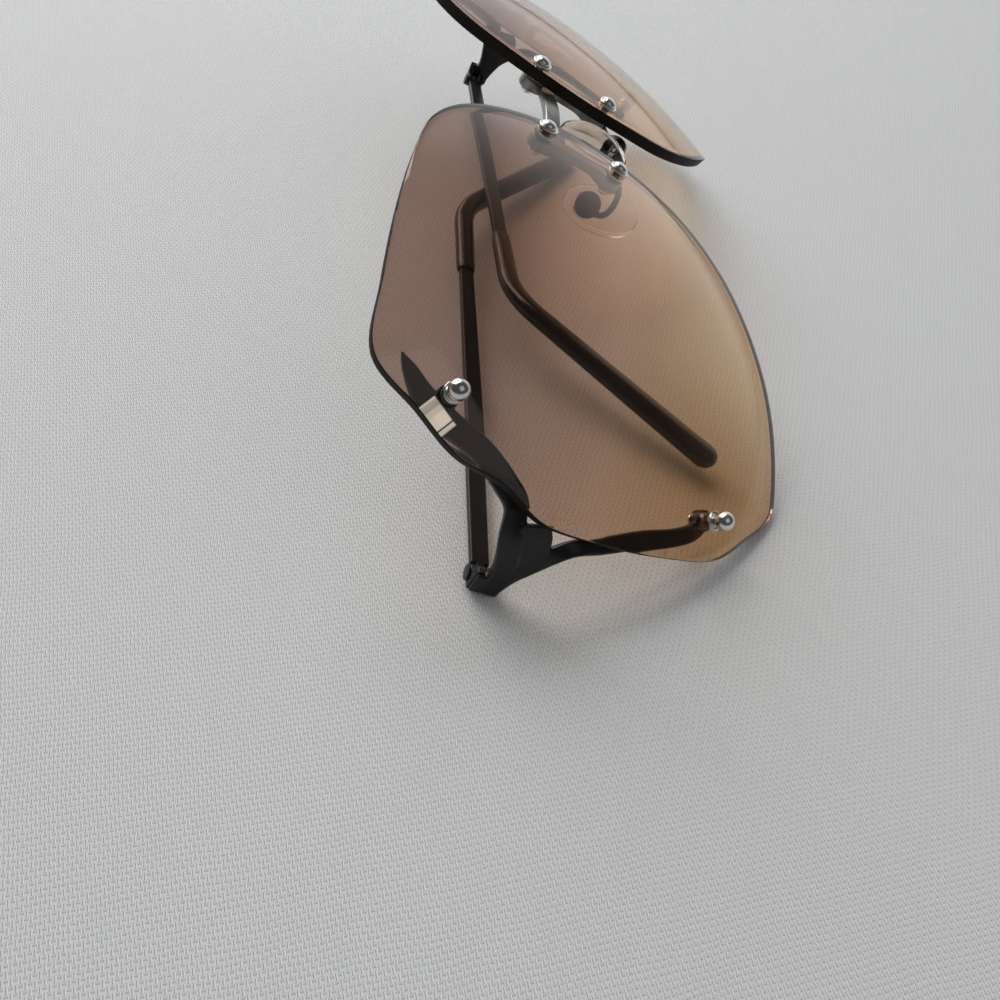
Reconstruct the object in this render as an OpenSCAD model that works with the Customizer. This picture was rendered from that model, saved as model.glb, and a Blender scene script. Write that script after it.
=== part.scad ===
// Folded rimless sunglasses with forked end pieces, lying on their back with the lens fronts up.
// Each piece is drawn upright, as the pair is worn, and laid down at the very end.
// Upright frame: X to the wearer's left, Y up to the brow, Z forwards, origin between the nose screws.

/* [Lens] */
// Width of one lens, from its nose edge to its temple edge
lens_w = 64.2; // [56:0.1:70]
// Height of one lens
lens_h = 71; // [62:0.5:78]
// How far the lens reaches below the nose screws
lens_below = 41.9; // [36:0.1:46]
// Gap between the nose edges of the two lenses
lens_gap = 13.4; // [11:0.1:17]
// Thickness of a lens
lens_t = 2; // [1.8:0.1:2.4]
// Radius of the lens front across the face
lens_rx = 92; // [86:1:110]
// Radius of the lens front from brow to cheek
lens_ry = 134; // [122:1:180]

/* [Screws] */
// Distance between the two nose screws of a lens
nose_pitch = 13.4; // [11:0.1:16]
// Nose screws, from the nose edge of the lens
nose_in = 3.2; // [2.8:0.1:4.5]
// Upper temple screw, in from the outermost point of the lens
brow_in = 9.9; // [9:0.1:14]
// Upper temple screw, down from the top of the lens
brow_down = 11.8; // [10:0.1:16]
// Lower temple screw, in from the outermost point of the lens
cheek_in = 10.9; // [10:0.1:14]
// Lower temple screw, up from the bottom of the lens
cheek_up = 14.3; // [12:0.1:20]
// Radius of a lens screw's shank
shank_r = 0.6; // [0.5:0.05:0.7]
// Radius of a nose screw's domed head
nose_head_r = 1.3; // [1.1:0.05:1.5]
// Radius of a temple screw's ball head
ball_r = 1.2; // [1:0.05:1.5]
// Radius of the ring washers under the heads
washer_r = 1.65; // [1.5:0.05:1.9]
// Thickness of a ring washer
washer_t = 0.45; // [0.3:0.05:0.7]
// Thickness of the clear washer behind the lens
backer_t = 0.35; // [0.25:0.05:0.5]

/* [Bridge] */
// Thickness of a nose plate between its bosses
plate_t = 1.2; // [1:0.1:1.6]
// Thickness of a nose plate at its bosses
plate_boss_t = 2; // [1.8:0.1:2.6]
// Radius of a nose plate's bosses
plate_boss_r = 1.8; // [1.6:0.1:2.1]
// Width of the cross bar
bar_w = 2.6; // [2:0.1:3.2]
// Thickness of the cross bar
bar_t = 1.3; // [1:0.1:1.6]
// Cross bar's centre below the upper nose screw
bar_down = 2.8; // [2.6:0.1:4]

/* [Nose pads] */
// Diameter of the wire that carries a pad
wire_d = 1; // [0.8:0.1:1.2]
// Radius of the pad cup
cup_r = 2.1; // [2:0.1:2.4]
// Thickness of the pad cup
cup_t = 1.5; // [1.3:0.1:2]
// Length of a pad
pad_l = 13; // [11:0.5:15]
// Width of a pad
pad_w = 7.4; // [6.4:0.2:8.4]
// Thickness of a pad
pad_t = 2.4; // [2:0.1:3]
// Radius of the pin that a pad rocks on
pin_r = 0.4; // [0.35:0.05:0.5]

/* [End piece] */
// Width of the branch to the brow
brow_w = 3.3; // [2.8:0.1:3.6]
// Width of the branch to the cheek
cheek_w = 2.6; // [2.2:0.1:3]
// Thickness of a branch
branch_t = 1.3; // [1.2:0.1:1.6]
// Radius of the boss that a temple screw goes through
boss_r = 1.6; // [1.5:0.1:1.8]
// Thickness of that boss
boss_t = 1.8; // [1.6:0.1:2.2]
// Height of the tail between the fork and the hinge
tail_h = 3.4; // [3.2:0.1:4]
// Length of the clear stone beside the upper temple screw
stone_l = 4.6; // [4:0.1:5]
// Width of that stone
stone_w = 2.4; // [2:0.1:2.6]
// Thickness of that stone
stone_t = 1; // [0.8:0.1:1.1]

/* [Hinge] */
// Hinge axis, in from the outermost point of the lens
hinge_in = 2.3; // [1.8:0.1:3]
// Hinge axis, above the middle of the nose screws
hinge_up = 3.2; // [1:0.1:4]
// Hinge axis, behind the nose screws
hinge_back = 35; // [33:0.2:40]
// Height of the hinge, over both of its ears
hinge_h = 3.5; // [3.2:0.1:4]
// Radius of the knuckles
knuckle_r = 1.2; // [1.1:0.05:1.4]
// Radius of the hinge screw
hinge_r = 0.6; // [0.5:0.05:0.7]
// Running clearance round the hinge screw and the pad pins
run_gap = 0.05; // [0.02:0.01:0.08]
// Lean of the hinge axes, which lets the folded temples pass each other
fold_lean = 2; // [1.9:0.1:2.4]
// Angle between the two folded temples
fold_apart = 4.4; // [4.2:0.1:5]
// From the lens front back to the middle of the folded left tip
tip_room = 10.49; // [10:0.1:12]

/* [Temples] */
// Hinge axis to the start of the tip sleeve
arm_l = 65.5; // [60:0.5:75]
// Hinge axis to the bend behind the ear
bend_l = 84; // [80:0.5:95]
// Hinge axis to the end of the tip, measured along the temple
temple_l = 127.5; // [120:0.5:140]
// Angle that the right tip drops by, behind the ear
drop_right = 38; // [35:0.5:50]
// Angle that the left tip drops by, behind the ear
drop_left = 46; // [35:1:50]
// Height of the temple at the hinge
arm_h = 2.8; // [2.4:0.1:3.2]
// Height of the temple at its widest, a third of the way to the sleeve
arm_mid_h = 3; // [2.8:0.1:3.6]
// Height of the temple where it enters the sleeve
arm_end_h = 2.5; // [2:0.1:3]
// Thickness of the temple
arm_t = 1.1; // [0.9:0.1:1.4]
// Height of the sleeve where it starts
sleeve_h = 3.4; // [3.1:0.1:3.8]
// Height of the sleeve's thick end
sleeve_end_h = 4.6; // [4:0.1:5.4]

/* [Hidden] */
$fn = 48;

// Colours
tint = [0.62, 0.47, 0.42, 0.6];
gunmetal = [0.16, 0.16, 0.17];
silver = [0.8, 0.8, 0.8];
clear = [0.85, 0.86, 0.82, 0.5];
brown = [0.16, 0.09, 0.06];

// Lie of the folded pair on a table: lean back, roll to the right, and the shift to the footprint's middle
lie_tilt = 15.97;
lie_roll = 1.65;
lie_shift = [-0.82, 1.86, 36.36];

// Small gaps
touch = 0.03; // between two pieces that are clamped face to face
fit = 0.03; // round a screw in a nut or a plate
drill_gap = 0.15; // round a screw in a lens

// Middle of the lens front's curvature, and how far its crown stands before the origin
lens_cx = lens_gap / 2 + lens_w * 0.13;
lens_cy = lens_h - lens_below - 9.6;
crown_z = 1.4;

// Lens outline, as shares of its width from the nose edge and of its height from the bottom
outline = [
  [0.812, 0.989], [0.67, 1], [0.5, 0.998], [0.33, 0.981], [0.2, 0.949], [0.1, 0.872], [0.033, 0.745],
  [0.001, 0.6], [0.008, 0.47], [0.055, 0.314], [0.16, 0.19], [0.31, 0.097], [0.47, 0.034], [0.64, 0.003],
  [0.72, 0.008], [0.8, 0.074], [0.893, 0.172], [0.95, 0.31], [0.985, 0.45], [1, 0.6], [0.965, 0.7],
  [0.945, 0.8], [0.89, 0.888]
];
outline_steps = 4;

// Screw places on the lens front
lens_out = lens_gap / 2 + lens_w;
nose_x = lens_gap / 2 + nose_in;
nose_mid = 0.3;
nose_top = [nose_x, nose_mid + nose_pitch / 2];
nose_low = [nose_x, nose_mid - nose_pitch / 2];
brow_at = [lens_out - brow_in, lens_h - lens_below - brow_down];
cheek_at = [lens_out - cheek_in, cheek_up - lens_below];

// Hinge axis
hinge_at = [lens_out - hinge_in, hinge_up, -hinge_back];

// Vectors
function unit(v) = v / norm(v);
function mix(a, b, t) = a * (1 - t) + b * t;

// A point on a smooth curve through three or four neighbours
function curve4(a, b, c, d, t) =
  0.5 * (2 * b + (c - a) * t + (2 * a - 5 * b + 4 * c - d) * t * t + (3 * b - a - 3 * c + d) * t * t * t);
function on_path(p, t) =
  let(i = min(floor(t), len(p) - 2), a = p[max(i - 1, 0)], d = p[min(i + 2, len(p) - 1)])
  curve4(a, p[i], p[i + 1], d, t - i);
function on_loop(p, t) =
  let(n = len(p), i = floor(t))
  curve4(p[(i + n - 1) % n], p[i % n], p[(i + 1) % n], p[(i + 2) % n], t - i);

// The lens front is a piece of a ring surface: one radius across the face, another from brow to cheek
function girth(y, depth = 0) =
  lens_rx - lens_ry + sqrt(pow(lens_ry - depth, 2) - pow(y - lens_cy, 2));
function front_z(p) = crown_z - lens_rx + sqrt(pow(girth(p.y), 2) - pow(p.x - lens_cx, 2));
function front_normal(p) =
  let(
    rise = (p.y - lens_cy) / lens_ry,
    level = sqrt(1 - rise * rise),
    side = (p.x - lens_cx) / girth(p.y)
  )
  [level * side, rise, level * sqrt(1 - side * side)];
function lens_point(p, depth = 0) = [p.x, p.y, front_z(p)] - depth * front_normal(p);

// Points along the outline of the left lens
rim = [
  for (k = [0:len(outline) * outline_steps - 1])
    let(q = on_loop(outline, k / outline_steps))
    [lens_gap / 2 + q.x * lens_w, q.y * lens_h - lens_below]
];

// Stands children at a point, with their Z along a direction and their X near another one
module aim(at, along, across) {
  b = acos(along.z / norm(along));
  c = atan2(along.y, along.x);
  ex = [cos(b) * cos(c), cos(b) * sin(c), -sin(b)];
  ey = [-sin(c), cos(c), 0];
  translate(at)
    rotate([0, b, c])
      rotate([0, 0, atan2(across * ey, across * ex)])
        children();
}

// Stands children on the lens front, with their Z straight out of it
module on_lens(p) {
  aim(lens_point(p), front_normal(p), [0, 1, 0])
    children();
}

// Solid through a list of closed rings, all with the same number of points
module loft(rings) {
  n = len(rings[0]);
  m = len(rings);
  polyhedron(
    points = [for (r = rings) each r],
    faces = concat(
      [[for (i = [0:n - 1]) i]],
      [
        for (k = [0:m - 2], i = [0:n - 1])
          each [
            [k * n + i, (k + 1) * n + i, k * n + (i + 1) % n],
            [k * n + (i + 1) % n, (k + 1) * n + i, (k + 1) * n + (i + 1) % n]
          ]
      ],
      [[for (i = [n - 1:-1:0]) (m - 1) * n + i]]
    ),
    convexity = 6
  );
}

// Closed ring with soft corners, half sizes a and b along u and v
function soft_ring(at, u, v, a, b, sides, power = 0.6) = [
  for (i = [0:sides - 1])
    let(t = 360 * (i + 0.5) / sides, c = cos(t), s = sin(t))
    at + u * a * sign(c) * pow(abs(c), power) + v * b * sign(s) * pow(abs(s), power)
];

// Rings along a path of points, with the flat side facing the given normals
function swept(path, faces, half_w, half_t, sides, steps, power = 0.6) = [
  for (k = [0:steps])
    let(
      n = len(path) - 1,
      t = k / steps * n,
      at = on_path(path, t),
      dir = unit(on_path(path, min(t + 0.02, n)) - on_path(path, max(t - 0.02, 0))),
      face = on_path(faces, t),
      v = unit(face - (face * dir) * dir),
      u = cross(v, dir)
    )
    soft_ring(at, u, v, on_path(half_w, t), on_path(half_t, t), sides, power)
];

// The right side is the left side mirrored, apart from what is bent or folded its own way
module sided(right) {
  mirror([right ? 1 : 0, 0, 0])
    children();
}

// Lens

module lens_shell() {
  translate([lens_cx, lens_cy, crown_z - lens_rx])
    rotate([90, 0, 0])
      rotate_extrude($fn = 360)
        intersection() {
          translate([lens_rx - lens_ry, 0])
            difference() {
              circle(lens_ry, $fn = 720);
              circle(lens_ry - lens_t, $fn = 720);
            }
          translate([1, -lens_h])
            square([lens_rx + 1, 2 * lens_h]);
        }
}

// A plug whose wall stands square to the lens front all the way round the outline
module lens_plug() {
  ahead = 3;
  behind = 3 + lens_t;
  n = len(rim);
  crown = [lens_cx + lens_w / 3, 0, 30];
  root = [lens_cx + lens_w / 3, 0, -60];
  polyhedron(
    points = concat(
      [for (p = rim) lens_point(p, behind)],
      [for (p = rim) lens_point(p, -ahead)],
      [root, crown]
    ),
    faces = [
      for (i = [0:n - 1])
        let(j = (i + 1) % n)
        each [[i, n + i, j], [j, n + i, n + j], [i, j, 2 * n], [n + j, n + i, 2 * n + 1]]
    ],
    convexity = 4
  );
}

module lens(right) {
  color(tint)
    sided(right)
      difference() {
        intersection() {
          lens_shell();
          lens_plug();
        }
        for (p = [nose_top, nose_low, brow_at, cheek_at])
          on_lens(p)
            translate([0, 0, -2 * lens_t])
              cylinder(r = shank_r + drill_gap, h = 3 * lens_t);
      }
}

// Screws, washers and nuts

back_z = -lens_t - touch; // back of the lens, below a point of its front
seat_z = back_z - backer_t - touch; // front of whatever is clamped behind the lens
head_z = washer_t + 2 * touch;
nut_t = 1;
nut_r = 1.15;

module domed_screw(stack) {
  dome_h = 0.75;
  dome_sphere = (nose_head_r * nose_head_r + dome_h * dome_h) / (2 * dome_h);
  translate([0, 0, head_z]) {
    cylinder(r = nose_head_r, h = 0.25);
    intersection() {
      translate([0, 0, 0.25])
        cylinder(r = nose_head_r, h = dome_h);
      translate([0, 0, 0.25 + dome_h - dome_sphere])
        sphere(dome_sphere);
    }
  }
  translate([0, 0, seat_z - stack])
    cylinder(r = shank_r, h = stack - seat_z + head_z + 0.1);
}

module ball_screw(stack) {
  neck_h = 0.5;
  intersection() {
    translate([0, 0, head_z + neck_h + ball_r * 0.75])
      sphere(ball_r);
    translate([0, 0, head_z + neck_h])
      cylinder(r = 2 * ball_r, h = 3 * ball_r);
  }
  translate([0, 0, head_z])
    cylinder(r = ball_r * 0.66, h = neck_h + 0.1);
  translate([0, 0, seat_z - stack])
    cylinder(r = shank_r, h = stack - seat_z + head_z + 0.1);
}

module ring(r, t) {
  difference() {
    cylinder(r = r, h = t);
    translate([0, 0, -t])
      cylinder(r = shank_r + fit, h = 3 * t);
  }
}

module cap_nut(stack) {
  translate([0, 0, seat_z - stack - 0.1])
    mirror([0, 0, 1])
      difference() {
        union() {
          cylinder(r = nut_r, h = nut_t - 0.4);
          translate([0, 0, nut_t - 0.4])
            intersection() {
              cylinder(r = nut_r, h = nut_t);
              translate([0, 0, -0.7])
                sphere(nut_r * 1.15);
            }
        }
        translate([0, 0, -nut_t])
          cylinder(r = shank_r + fit, h = nut_t + 0.5);
      }
}

module at_each(right, places) {
  sided(right)
    for (p = places)
      on_lens(p)
        children();
}

nose_places = [nose_top, nose_low];
temple_places = [brow_at, cheek_at];
nose_stack = plate_boss_t + 0.5;
temple_stack = boss_t + 0.5;

module nose_screws(right) {
  color(silver)
    at_each(right, nose_places)
      domed_screw(nose_stack);
}

module nose_washers(right) {
  color(silver)
    at_each(right, nose_places)
      translate([0, 0, touch])
        ring(washer_r, washer_t);
}

module nose_backers(right) {
  color(clear)
    at_each(right, nose_places)
      translate([0, 0, back_z - backer_t])
        ring(plate_boss_r - 0.2, backer_t);
}

module nose_nuts(right) {
  color(silver)
    at_each(right, nose_places)
      cap_nut(plate_boss_t);
}

module temple_screws(right) {
  color(silver)
    at_each(right, temple_places)
      ball_screw(temple_stack);
}

module temple_washers(right) {
  color(silver)
    at_each(right, temple_places)
      translate([0, 0, touch])
        ring(washer_r, washer_t);
}

module temple_backers(right) {
  color(clear)
    at_each(right, temple_places)
      translate([0, 0, back_z - backer_t])
        ring(boss_r - 0.4, backer_t);
}

module temple_nuts(right) {
  color(silver)
    at_each(right, temple_places)
      cap_nut(boss_t);
}

// Bridge

plate_top = lens_point(nose_top, -seat_z);
plate_low = lens_point(nose_low, -seat_z);
plate_len = norm(plate_top - plate_low);
plate_out = unit(front_normal(nose_top) + front_normal(nose_low));

// Stands children on the plate: X up from the lower screw to the upper one, Z forwards
module on_plate() {
  aim((plate_top + plate_low) / 2 - touch * plate_out, plate_out, plate_top - plate_low)
    children();
}

function plate_depth(s) = mix(plate_t, plate_boss_t, pow(sin(90 * min(1, abs(s) / 0.82)), 6));
function plate_half(s) = mix(plate_boss_r * 0.72, plate_boss_r, pow(sin(90 * min(1, abs(s))), 8));

module nose_plate(right) {
  reach = plate_len / 2 + plate_boss_r + 0.2;
  color(gunmetal)
    sided(right)
      difference() {
        on_plate()
          intersection() {
            rotate([90, 0, 0])
              translate([0, 0, -plate_boss_r - 1])
                linear_extrude(2 * plate_boss_r + 2)
                  polygon(concat(
                    [[reach, 0], [-reach, 0]],
                    [for (k = [-16:16]) [k / 16 * reach, -plate_depth(k / 16 * reach / (plate_len / 2))]]
                  ));
            union() {
              for (s = [-1, 1])
                translate([s * plate_len / 2, 0, -plate_boss_t - 1])
                  cylinder(r = plate_boss_r, h = plate_boss_t + 2);
              translate([0, 0, -plate_boss_t - 1])
                linear_extrude(plate_boss_t + 2)
                  polygon(concat(
                    [for (k = [-12:12]) [k / 12 * plate_len / 2, plate_half(k / 12)]],
                    [for (k = [12:-1:-12]) [k / 12 * plate_len / 2, -plate_half(k / 12)]]
                  ));
            }
          }
        for (p = nose_places)
          on_lens(p)
            translate([0, 0, seat_z - 2 * plate_boss_t])
              cylinder(r = shank_r + fit, h = 3 * plate_boss_t);
      }
}

bar_mid = lens_point([nose_x, nose_top.y - bar_down], -seat_z + plate_t / 2 + 0.3);
bar_bow = 1; // how far its middle stands forwards
function bar_z(share) = -bar_mid.z - bar_bow * pow(cos(90 * share), 2);

// The bar is soldered to the inner edges of the two plates
module bridge_bar() {
  half = nose_x + 0.4;
  color(gunmetal)
    difference() {
      translate([0, bar_mid.y - bar_w / 2, 0])
        rotate([-90, 0, 0])
          linear_extrude(bar_w)
            polygon(concat(
              [for (k = [-12:12]) [k / 12 * half, bar_z(k / 12) - bar_t / 2]],
              [for (k = [12:-1:-12]) [k / 12 * half, bar_z(k / 12) + bar_t / 2]]
            ));
      for (right = [true, false])
        sided(right)
          on_plate()
            translate([0, 0, -4])
              linear_extrude(8)
                polygon(concat(
                  [[plate_len / 2, -4], [-plate_len / 2, -4]],
                  [for (k = [-12:12]) [k / 12 * plate_len / 2, plate_half(k / 12) + touch]]
                ));
    }
}

// Nose pads: the right wire curls in a hook, and the left one is bent down and nearly straight

wire_root = plate_low - plate_boss_t / 2 * plate_out + [0, 0.3 - plate_boss_r, 0];
wire_right = [
  wire_root, wire_root + [0.5, -0.7, -1.1], wire_root + [0.9, -0.9, -3.1], wire_root + [0.6, -0.5, -5],
  wire_root + [-0.4, 0.3, -6], wire_root + [-1.2, 1.3, -6.2]
];
wire_left = [
  wire_root, wire_root + [0.1, -0.8, -1], wire_root + [-0.5, -2.2, -1.9], wire_root + [-1.6, -3.3, -2.1]
];
cup_right = wire_root + [-1.3, 2.4, -5.5];
cup_left = wire_root + [-3.2, -2.9, -2.3];
pad_face_right = unit([-0.85, -0.1, -0.5]);
pad_face_left = unit([-0.93, 0.3, -0.15]);

// Stands children on a cup: Z to the nose, X up along the pad
module on_cup(right) {
  aim(right ? cup_right : cup_left, right ? pad_face_right : pad_face_left, [0, 1, 0])
    children();
}

module pad_wire(right) {
  path = right ? wire_right : wire_left;
  n = len(path);
  color(gunmetal)
    sided(right)
      difference() {
        loft(swept(
          path, [for (k = [1:n]) [1, 0, 0.3]], [for (k = [1:n]) wire_d / 2], [for (k = [1:n]) wire_d / 2],
          10, (n - 1) * 5, 1
        ));
        on_plate()
          translate([-plate_len / 2, 0, -plate_boss_t - 1])
            cylinder(r = plate_boss_r + touch, h = plate_boss_t + 2);
        on_cup(right)
          translate([0, 0, -cup_t - touch])
            cylinder(r = cup_r + touch, h = cup_t + 2);
      }
}

lug_w = 1.5; // lug of a pad, between the cheeks of its cup
lug_gap = 0.15;

module pad_cup(right) {
  slot = lug_w + 2 * lug_gap;
  color(gunmetal)
    sided(right)
      on_cup(right)
        difference() {
          translate([0, 0, -cup_t])
            cylinder(r = cup_r, h = cup_t);
          translate([-cup_r, -slot / 2, -cup_t + 0.5])
            cube([2 * cup_r, slot, cup_t]);
          translate([0, cup_r + 1, -0.45])
            rotate([90, 0, 0])
              cylinder(r = pin_r, h = 2 * cup_r + 2);
        }
}

module pad_pin(right) {
  color(silver)
    sided(right)
      on_cup(right)
        translate([0, cup_r - 0.25, -0.45])
          rotate([90, 0, 0])
            cylinder(r = pin_r - 0.01, h = 2 * cup_r - 0.5);
}

module nose_pad(right) {
  lift = 0.9; // from the rim of the cup to the back of the pad
  rings = 14;
  shift = right ? -3.4 : 3.4;
  color(clear)
    sided(right)
      on_cup(right) {
        difference() {
          translate([-0.65, -lug_w / 2, -0.8])
            cube([1.3, lug_w, 0.8 + lift + 0.4]);
          translate([0, cup_r, -0.45])
            rotate([90, 0, 0])
              cylinder(r = pin_r + run_gap, h = 2 * cup_r);
        }
        loft([
          for (k = [0:rings])
            let(
              s = -cos(180 * k / rings) * 0.996,
              girth = pow(1 - s * s, 0.42),
              bow = 0.8 * s * s
            )
            soft_ring(
              [shift + s * pad_l / 2, 0, lift + pad_t / 2 + bow], [0, 1, 0], [0, 0, 1],
              girth * pad_w / 2, pow(girth, 0.6) * pad_t / 2, 16, 0.85
            )
        ]);
      }
}

// End piece: two flat branches run from the temple screws to a tail, and the tail carries the hinge

hinge_half = hinge_h / 2;
tongue_h = 1.2; // temple's knuckle, between the ears of the end piece
ear_gap = 0.12;
tail_t = 1.3;
tail_x = 2.15; // middle of the tail, out from the hinge axis
tail_down = 1.1; // middle of the tail, below the middle of the hinge
tail_end = -0.2; // rear face of the tail, before the hinge axis
band_depth = 3.2; // middle of a branch, behind the lens front

cheek_boss = lens_point(cheek_at, -seat_z + boss_t / 2);
tail_mid = hinge_at + [tail_x, -tail_down, tail_end];
tail_face = [1, 0, 0.05];

// A point on the surface that a branch follows behind the lens
function on_band(p) =
  [p.x, p.y, crown_z - lens_rx + sqrt(pow(girth(p.y, band_depth), 2) - pow(p.x - lens_cx, 2))];

// The brow branch starts in a point, passes the outer side of its boss and ends in the tail
brow_path = [
  for (d = [[-5.2, 7], [-3.4, 5.5], [-1.4, 3.4], [0.4, 0.5], [1.7, -3], [3, -6.7], [5.1, -10.4], [7, -12.8]])
    on_band(brow_at + d),
  tail_mid + [-0.6, 1.5, 11.2], tail_mid + [0.1, 0.4, 7.6], tail_mid + [0.1, -0.2, 4], tail_mid
];
brow_faces = [
  for (k = [0:7]) front_normal(brow_at + [k, -2 * k]), unit([0.85, 0.1, 0.5]), tail_face, tail_face, tail_face
];
brow_halves = brow_w * [0.03, 0.3, 0.42, 0.52, 0.5, 0.5, 0.5, 0.5, 0.5, 0.5, 0.46, 0.46];
brow_thins = branch_t * [0.2, 0.45, 0.5, 0.5, 0.5, 0.5, 0.5, 0.5, 0.52, 0.55, 0.6, 0.6];

cheek_path = [
  cheek_boss, cheek_boss + [1.1, 0.5, -0.7], on_band(cheek_at + [1, 3.3]), on_band(cheek_at + [2.9, 6.7]),
  on_band(cheek_at + [5.1, 11.8]), on_band(cheek_at + [7.8, 17.7]), on_band(cheek_at + [9.8, 22.6]),
  tail_mid + [0, -2.9, 7], tail_mid + [0.1, -1.2, 4.2], tail_mid
];
cheek_faces = [
  for (k = [0:6]) front_normal(cheek_at + [k, 3 * k]), unit([0.9, -0.1, 0.4]), tail_face, tail_face
];
cheek_halves = cheek_w * [0.5, 0.5, 0.5, 0.52, 0.54, 0.5, 0.46, 0.5, 0.55, 0.55];
cheek_thins = branch_t * [0.5, 0.5, 0.5, 0.5, 0.5, 0.5, 0.5, 0.55, 0.6, 0.6];

// The fork's crotch is filled by a short web
web_path = [
  for (d = [[0, 0, 1], [0, -0.9, 5], [-0.2, -1.5, 8.5], [-0.8, -1.7, 11.4]]) tail_mid + d
];
web_faces = [tail_face, tail_face, unit([0.95, 0, 0.3]), unit([0.9, 0, 0.45])];

stone_depth = -seat_z + 0.05; // front of the stone, behind the lens front
stone_at = brow_at + [2.45, 0.7];

module on_stone() {
  aim(lens_point(stone_at, stone_depth), front_normal(stone_at), [-0.5, 0.85, 0.45])
    children();
}

module end_piece(right) {
  lean = right ? fold_lean : -fold_lean;
  color(gunmetal)
    sided(right)
      difference() {
        union() {
          loft(swept(brow_path, brow_faces, brow_halves, brow_thins, 12, 33));
          loft(swept(cheek_path, cheek_faces, cheek_halves, cheek_thins, 12, 27));
          loft(swept(web_path, web_faces, [1, 1.8, 2.3, 2.2], branch_t * [0.5, 0.5, 0.45, 0.35], 12, 9));
          for (p = temple_places)
            on_lens(p)
              translate([0, 0, seat_z - boss_t])
                cylinder(r = boss_r, h = boss_t);
          translate(tail_mid - [tail_t / 2, tail_h / 2, 0.4])
            cube([tail_t, tail_h + 0.9, 3.6]);
          translate(hinge_at)
            rotate([0, 0, -lean])
              hinge_ears();
        }
        for (p = temple_places)
          on_lens(p)
            translate([0, 0, seat_z - 3 * boss_t])
              cylinder(r = shank_r + fit, h = 4 * boss_t);
        on_stone()
          translate([-stone_l / 2 - touch, -stone_w / 2 - 3, -stone_t - touch])
            cube([stone_l + 2 * touch, stone_w + 3 + touch, 3]);
      }
}

module hinge_ears() {
  ear = (hinge_h - tongue_h) / 2 - ear_gap;
  for (s = [-1, 1])
    translate([0, s * (tongue_h / 2 + ear_gap + ear / 2), 0])
      difference() {
        rotate([90, 0, 0])
          linear_extrude(ear, center = true)
            union() {
              circle(knuckle_r);
              polygon([
                [0, -knuckle_r], [tail_x, 0.4 - knuckle_r], [tail_x, knuckle_r + 2],
                [tail_x - 0.9, knuckle_r + 0.6], [0, knuckle_r]
              ]);
            }
        rotate([90, 0, 0])
          cylinder(r = hinge_r + run_gap, h = 2 * ear, center = true);
      }
}

function box_ring(a, b, z) = [[a, b, z], [-a, b, z], [-a, -b, z], [a, -b, z]];

module stone(right) {
  bevel = 0.45;
  l = stone_l / 2;
  w = stone_w / 2;
  color([0.9, 0.93, 0.88])
    sided(right)
      on_stone()
        loft([
          box_ring(l - bevel / 2, w - bevel / 2, -stone_t), box_ring(l, w, -stone_t / 2),
          box_ring(l - 2 * bevel, w - bevel, 0)
        ]);
}

module hinge_screw(right) {
  lean = right ? fold_lean : -fold_lean;
  color(gunmetal)
    sided(right)
      translate(hinge_at)
        rotate([-90, 0, -lean])
          difference() {
            union() {
              translate([0, 0, -hinge_half])
                cylinder(r = hinge_r, h = hinge_h + 0.1);
              translate([0, 0, hinge_half + touch])
                cylinder(r = 2 * hinge_r, h = 0.55);
            }
            translate([-2 * hinge_r, -0.12, hinge_half + 0.35])
              cube([4 * hinge_r, 0.24, 1]);
          }
}

// Temples: X runs from the hinge axis along the temple, Y up, and Z to the inside when it is open

tip_reach = bend_l + (temple_l - bend_l) * cos(drop_left);
tip_under = [tip_reach - hinge_at.x, hinge_at.y - (temple_l - bend_l) * sin(drop_left)];

// How far past square each temple is folded: the left tip lies under the right lens
fold_left = atan((front_z(tip_under) - tip_room - hinge_at.z) / tip_reach);
fold_right = fold_left - fold_apart;

arm_start = 1.7; // start of the temple's full height, along it from the hinge axis
arm_rise = 0.4; // middle of the temple's end above the middle of the hinge
arm_belly = 24; // widest point of the temple
bend_r = 14; // radius of the bend behind the ear

// Places a temple: folded behind the lenses, and leaning with its hinge
module on_hinge(right) {
  sided(right)
    translate(hinge_at)
      rotate([0, 0, right ? -fold_lean : fold_lean])
        rotate([0, right ? fold_right : fold_left, 0])
          mirror([1, 0, 0])
            children();
}

// Centre line of the temple in its own plane, and the angle that it has dropped by
function arm_line(s, drop) =
  let(half = bend_r * tan(drop / 2), start = bend_l - half, turn = bend_r * drop * PI / 180)
  s < start ? [s, arm_rise * min(1, max(0, s - arm_belly) / (arm_l - arm_belly)), 0] :
  s < start + turn ?
    let(a = (s - start) / bend_r * 180 / PI)
    [start + bend_r * sin(a), arm_rise - bend_r * (1 - cos(a)), a] :
    let(rest = s - start - turn)
    [
      start + bend_r * sin(drop) + rest * cos(drop),
      arm_rise - bend_r * (1 - cos(drop)) - rest * sin(drop),
      drop
    ];
function arm_edge(s, half, drop) = let(c = arm_line(s, drop)) [c.x + half * sin(c.z), c.y + half * cos(c.z)];

core_end = temple_l - 9;
core_h = 1.7;

// Half the temple's height along its length, and the core that runs on inside the sleeve
function arm_half(s) =
  s < arm_belly ? mix(arm_h, arm_mid_h, max(0, s) / arm_belly) / 2 :
  s < arm_l ? mix(arm_mid_h, arm_end_h, (s - arm_belly) / (arm_l - arm_belly)) / 2 :
  core_h / 2;

arm_stops = concat(
  [arm_start, arm_belly * 0.5, arm_belly * 0.8, arm_belly, arm_belly * 1.2, arm_l - 0.01, arm_l + 0.01],
  [for (k = [0:16]) mix(arm_l + 4, core_end, k / 16)]
);

module arm_flat(drop) {
  polygon(concat(
    [for (s = arm_stops) arm_edge(s, arm_half(s), drop)],
    [for (k = [len(arm_stops) - 1:-1:0]) arm_edge(arm_stops[k], -arm_half(arm_stops[k]), drop)]
  ));
}

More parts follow.
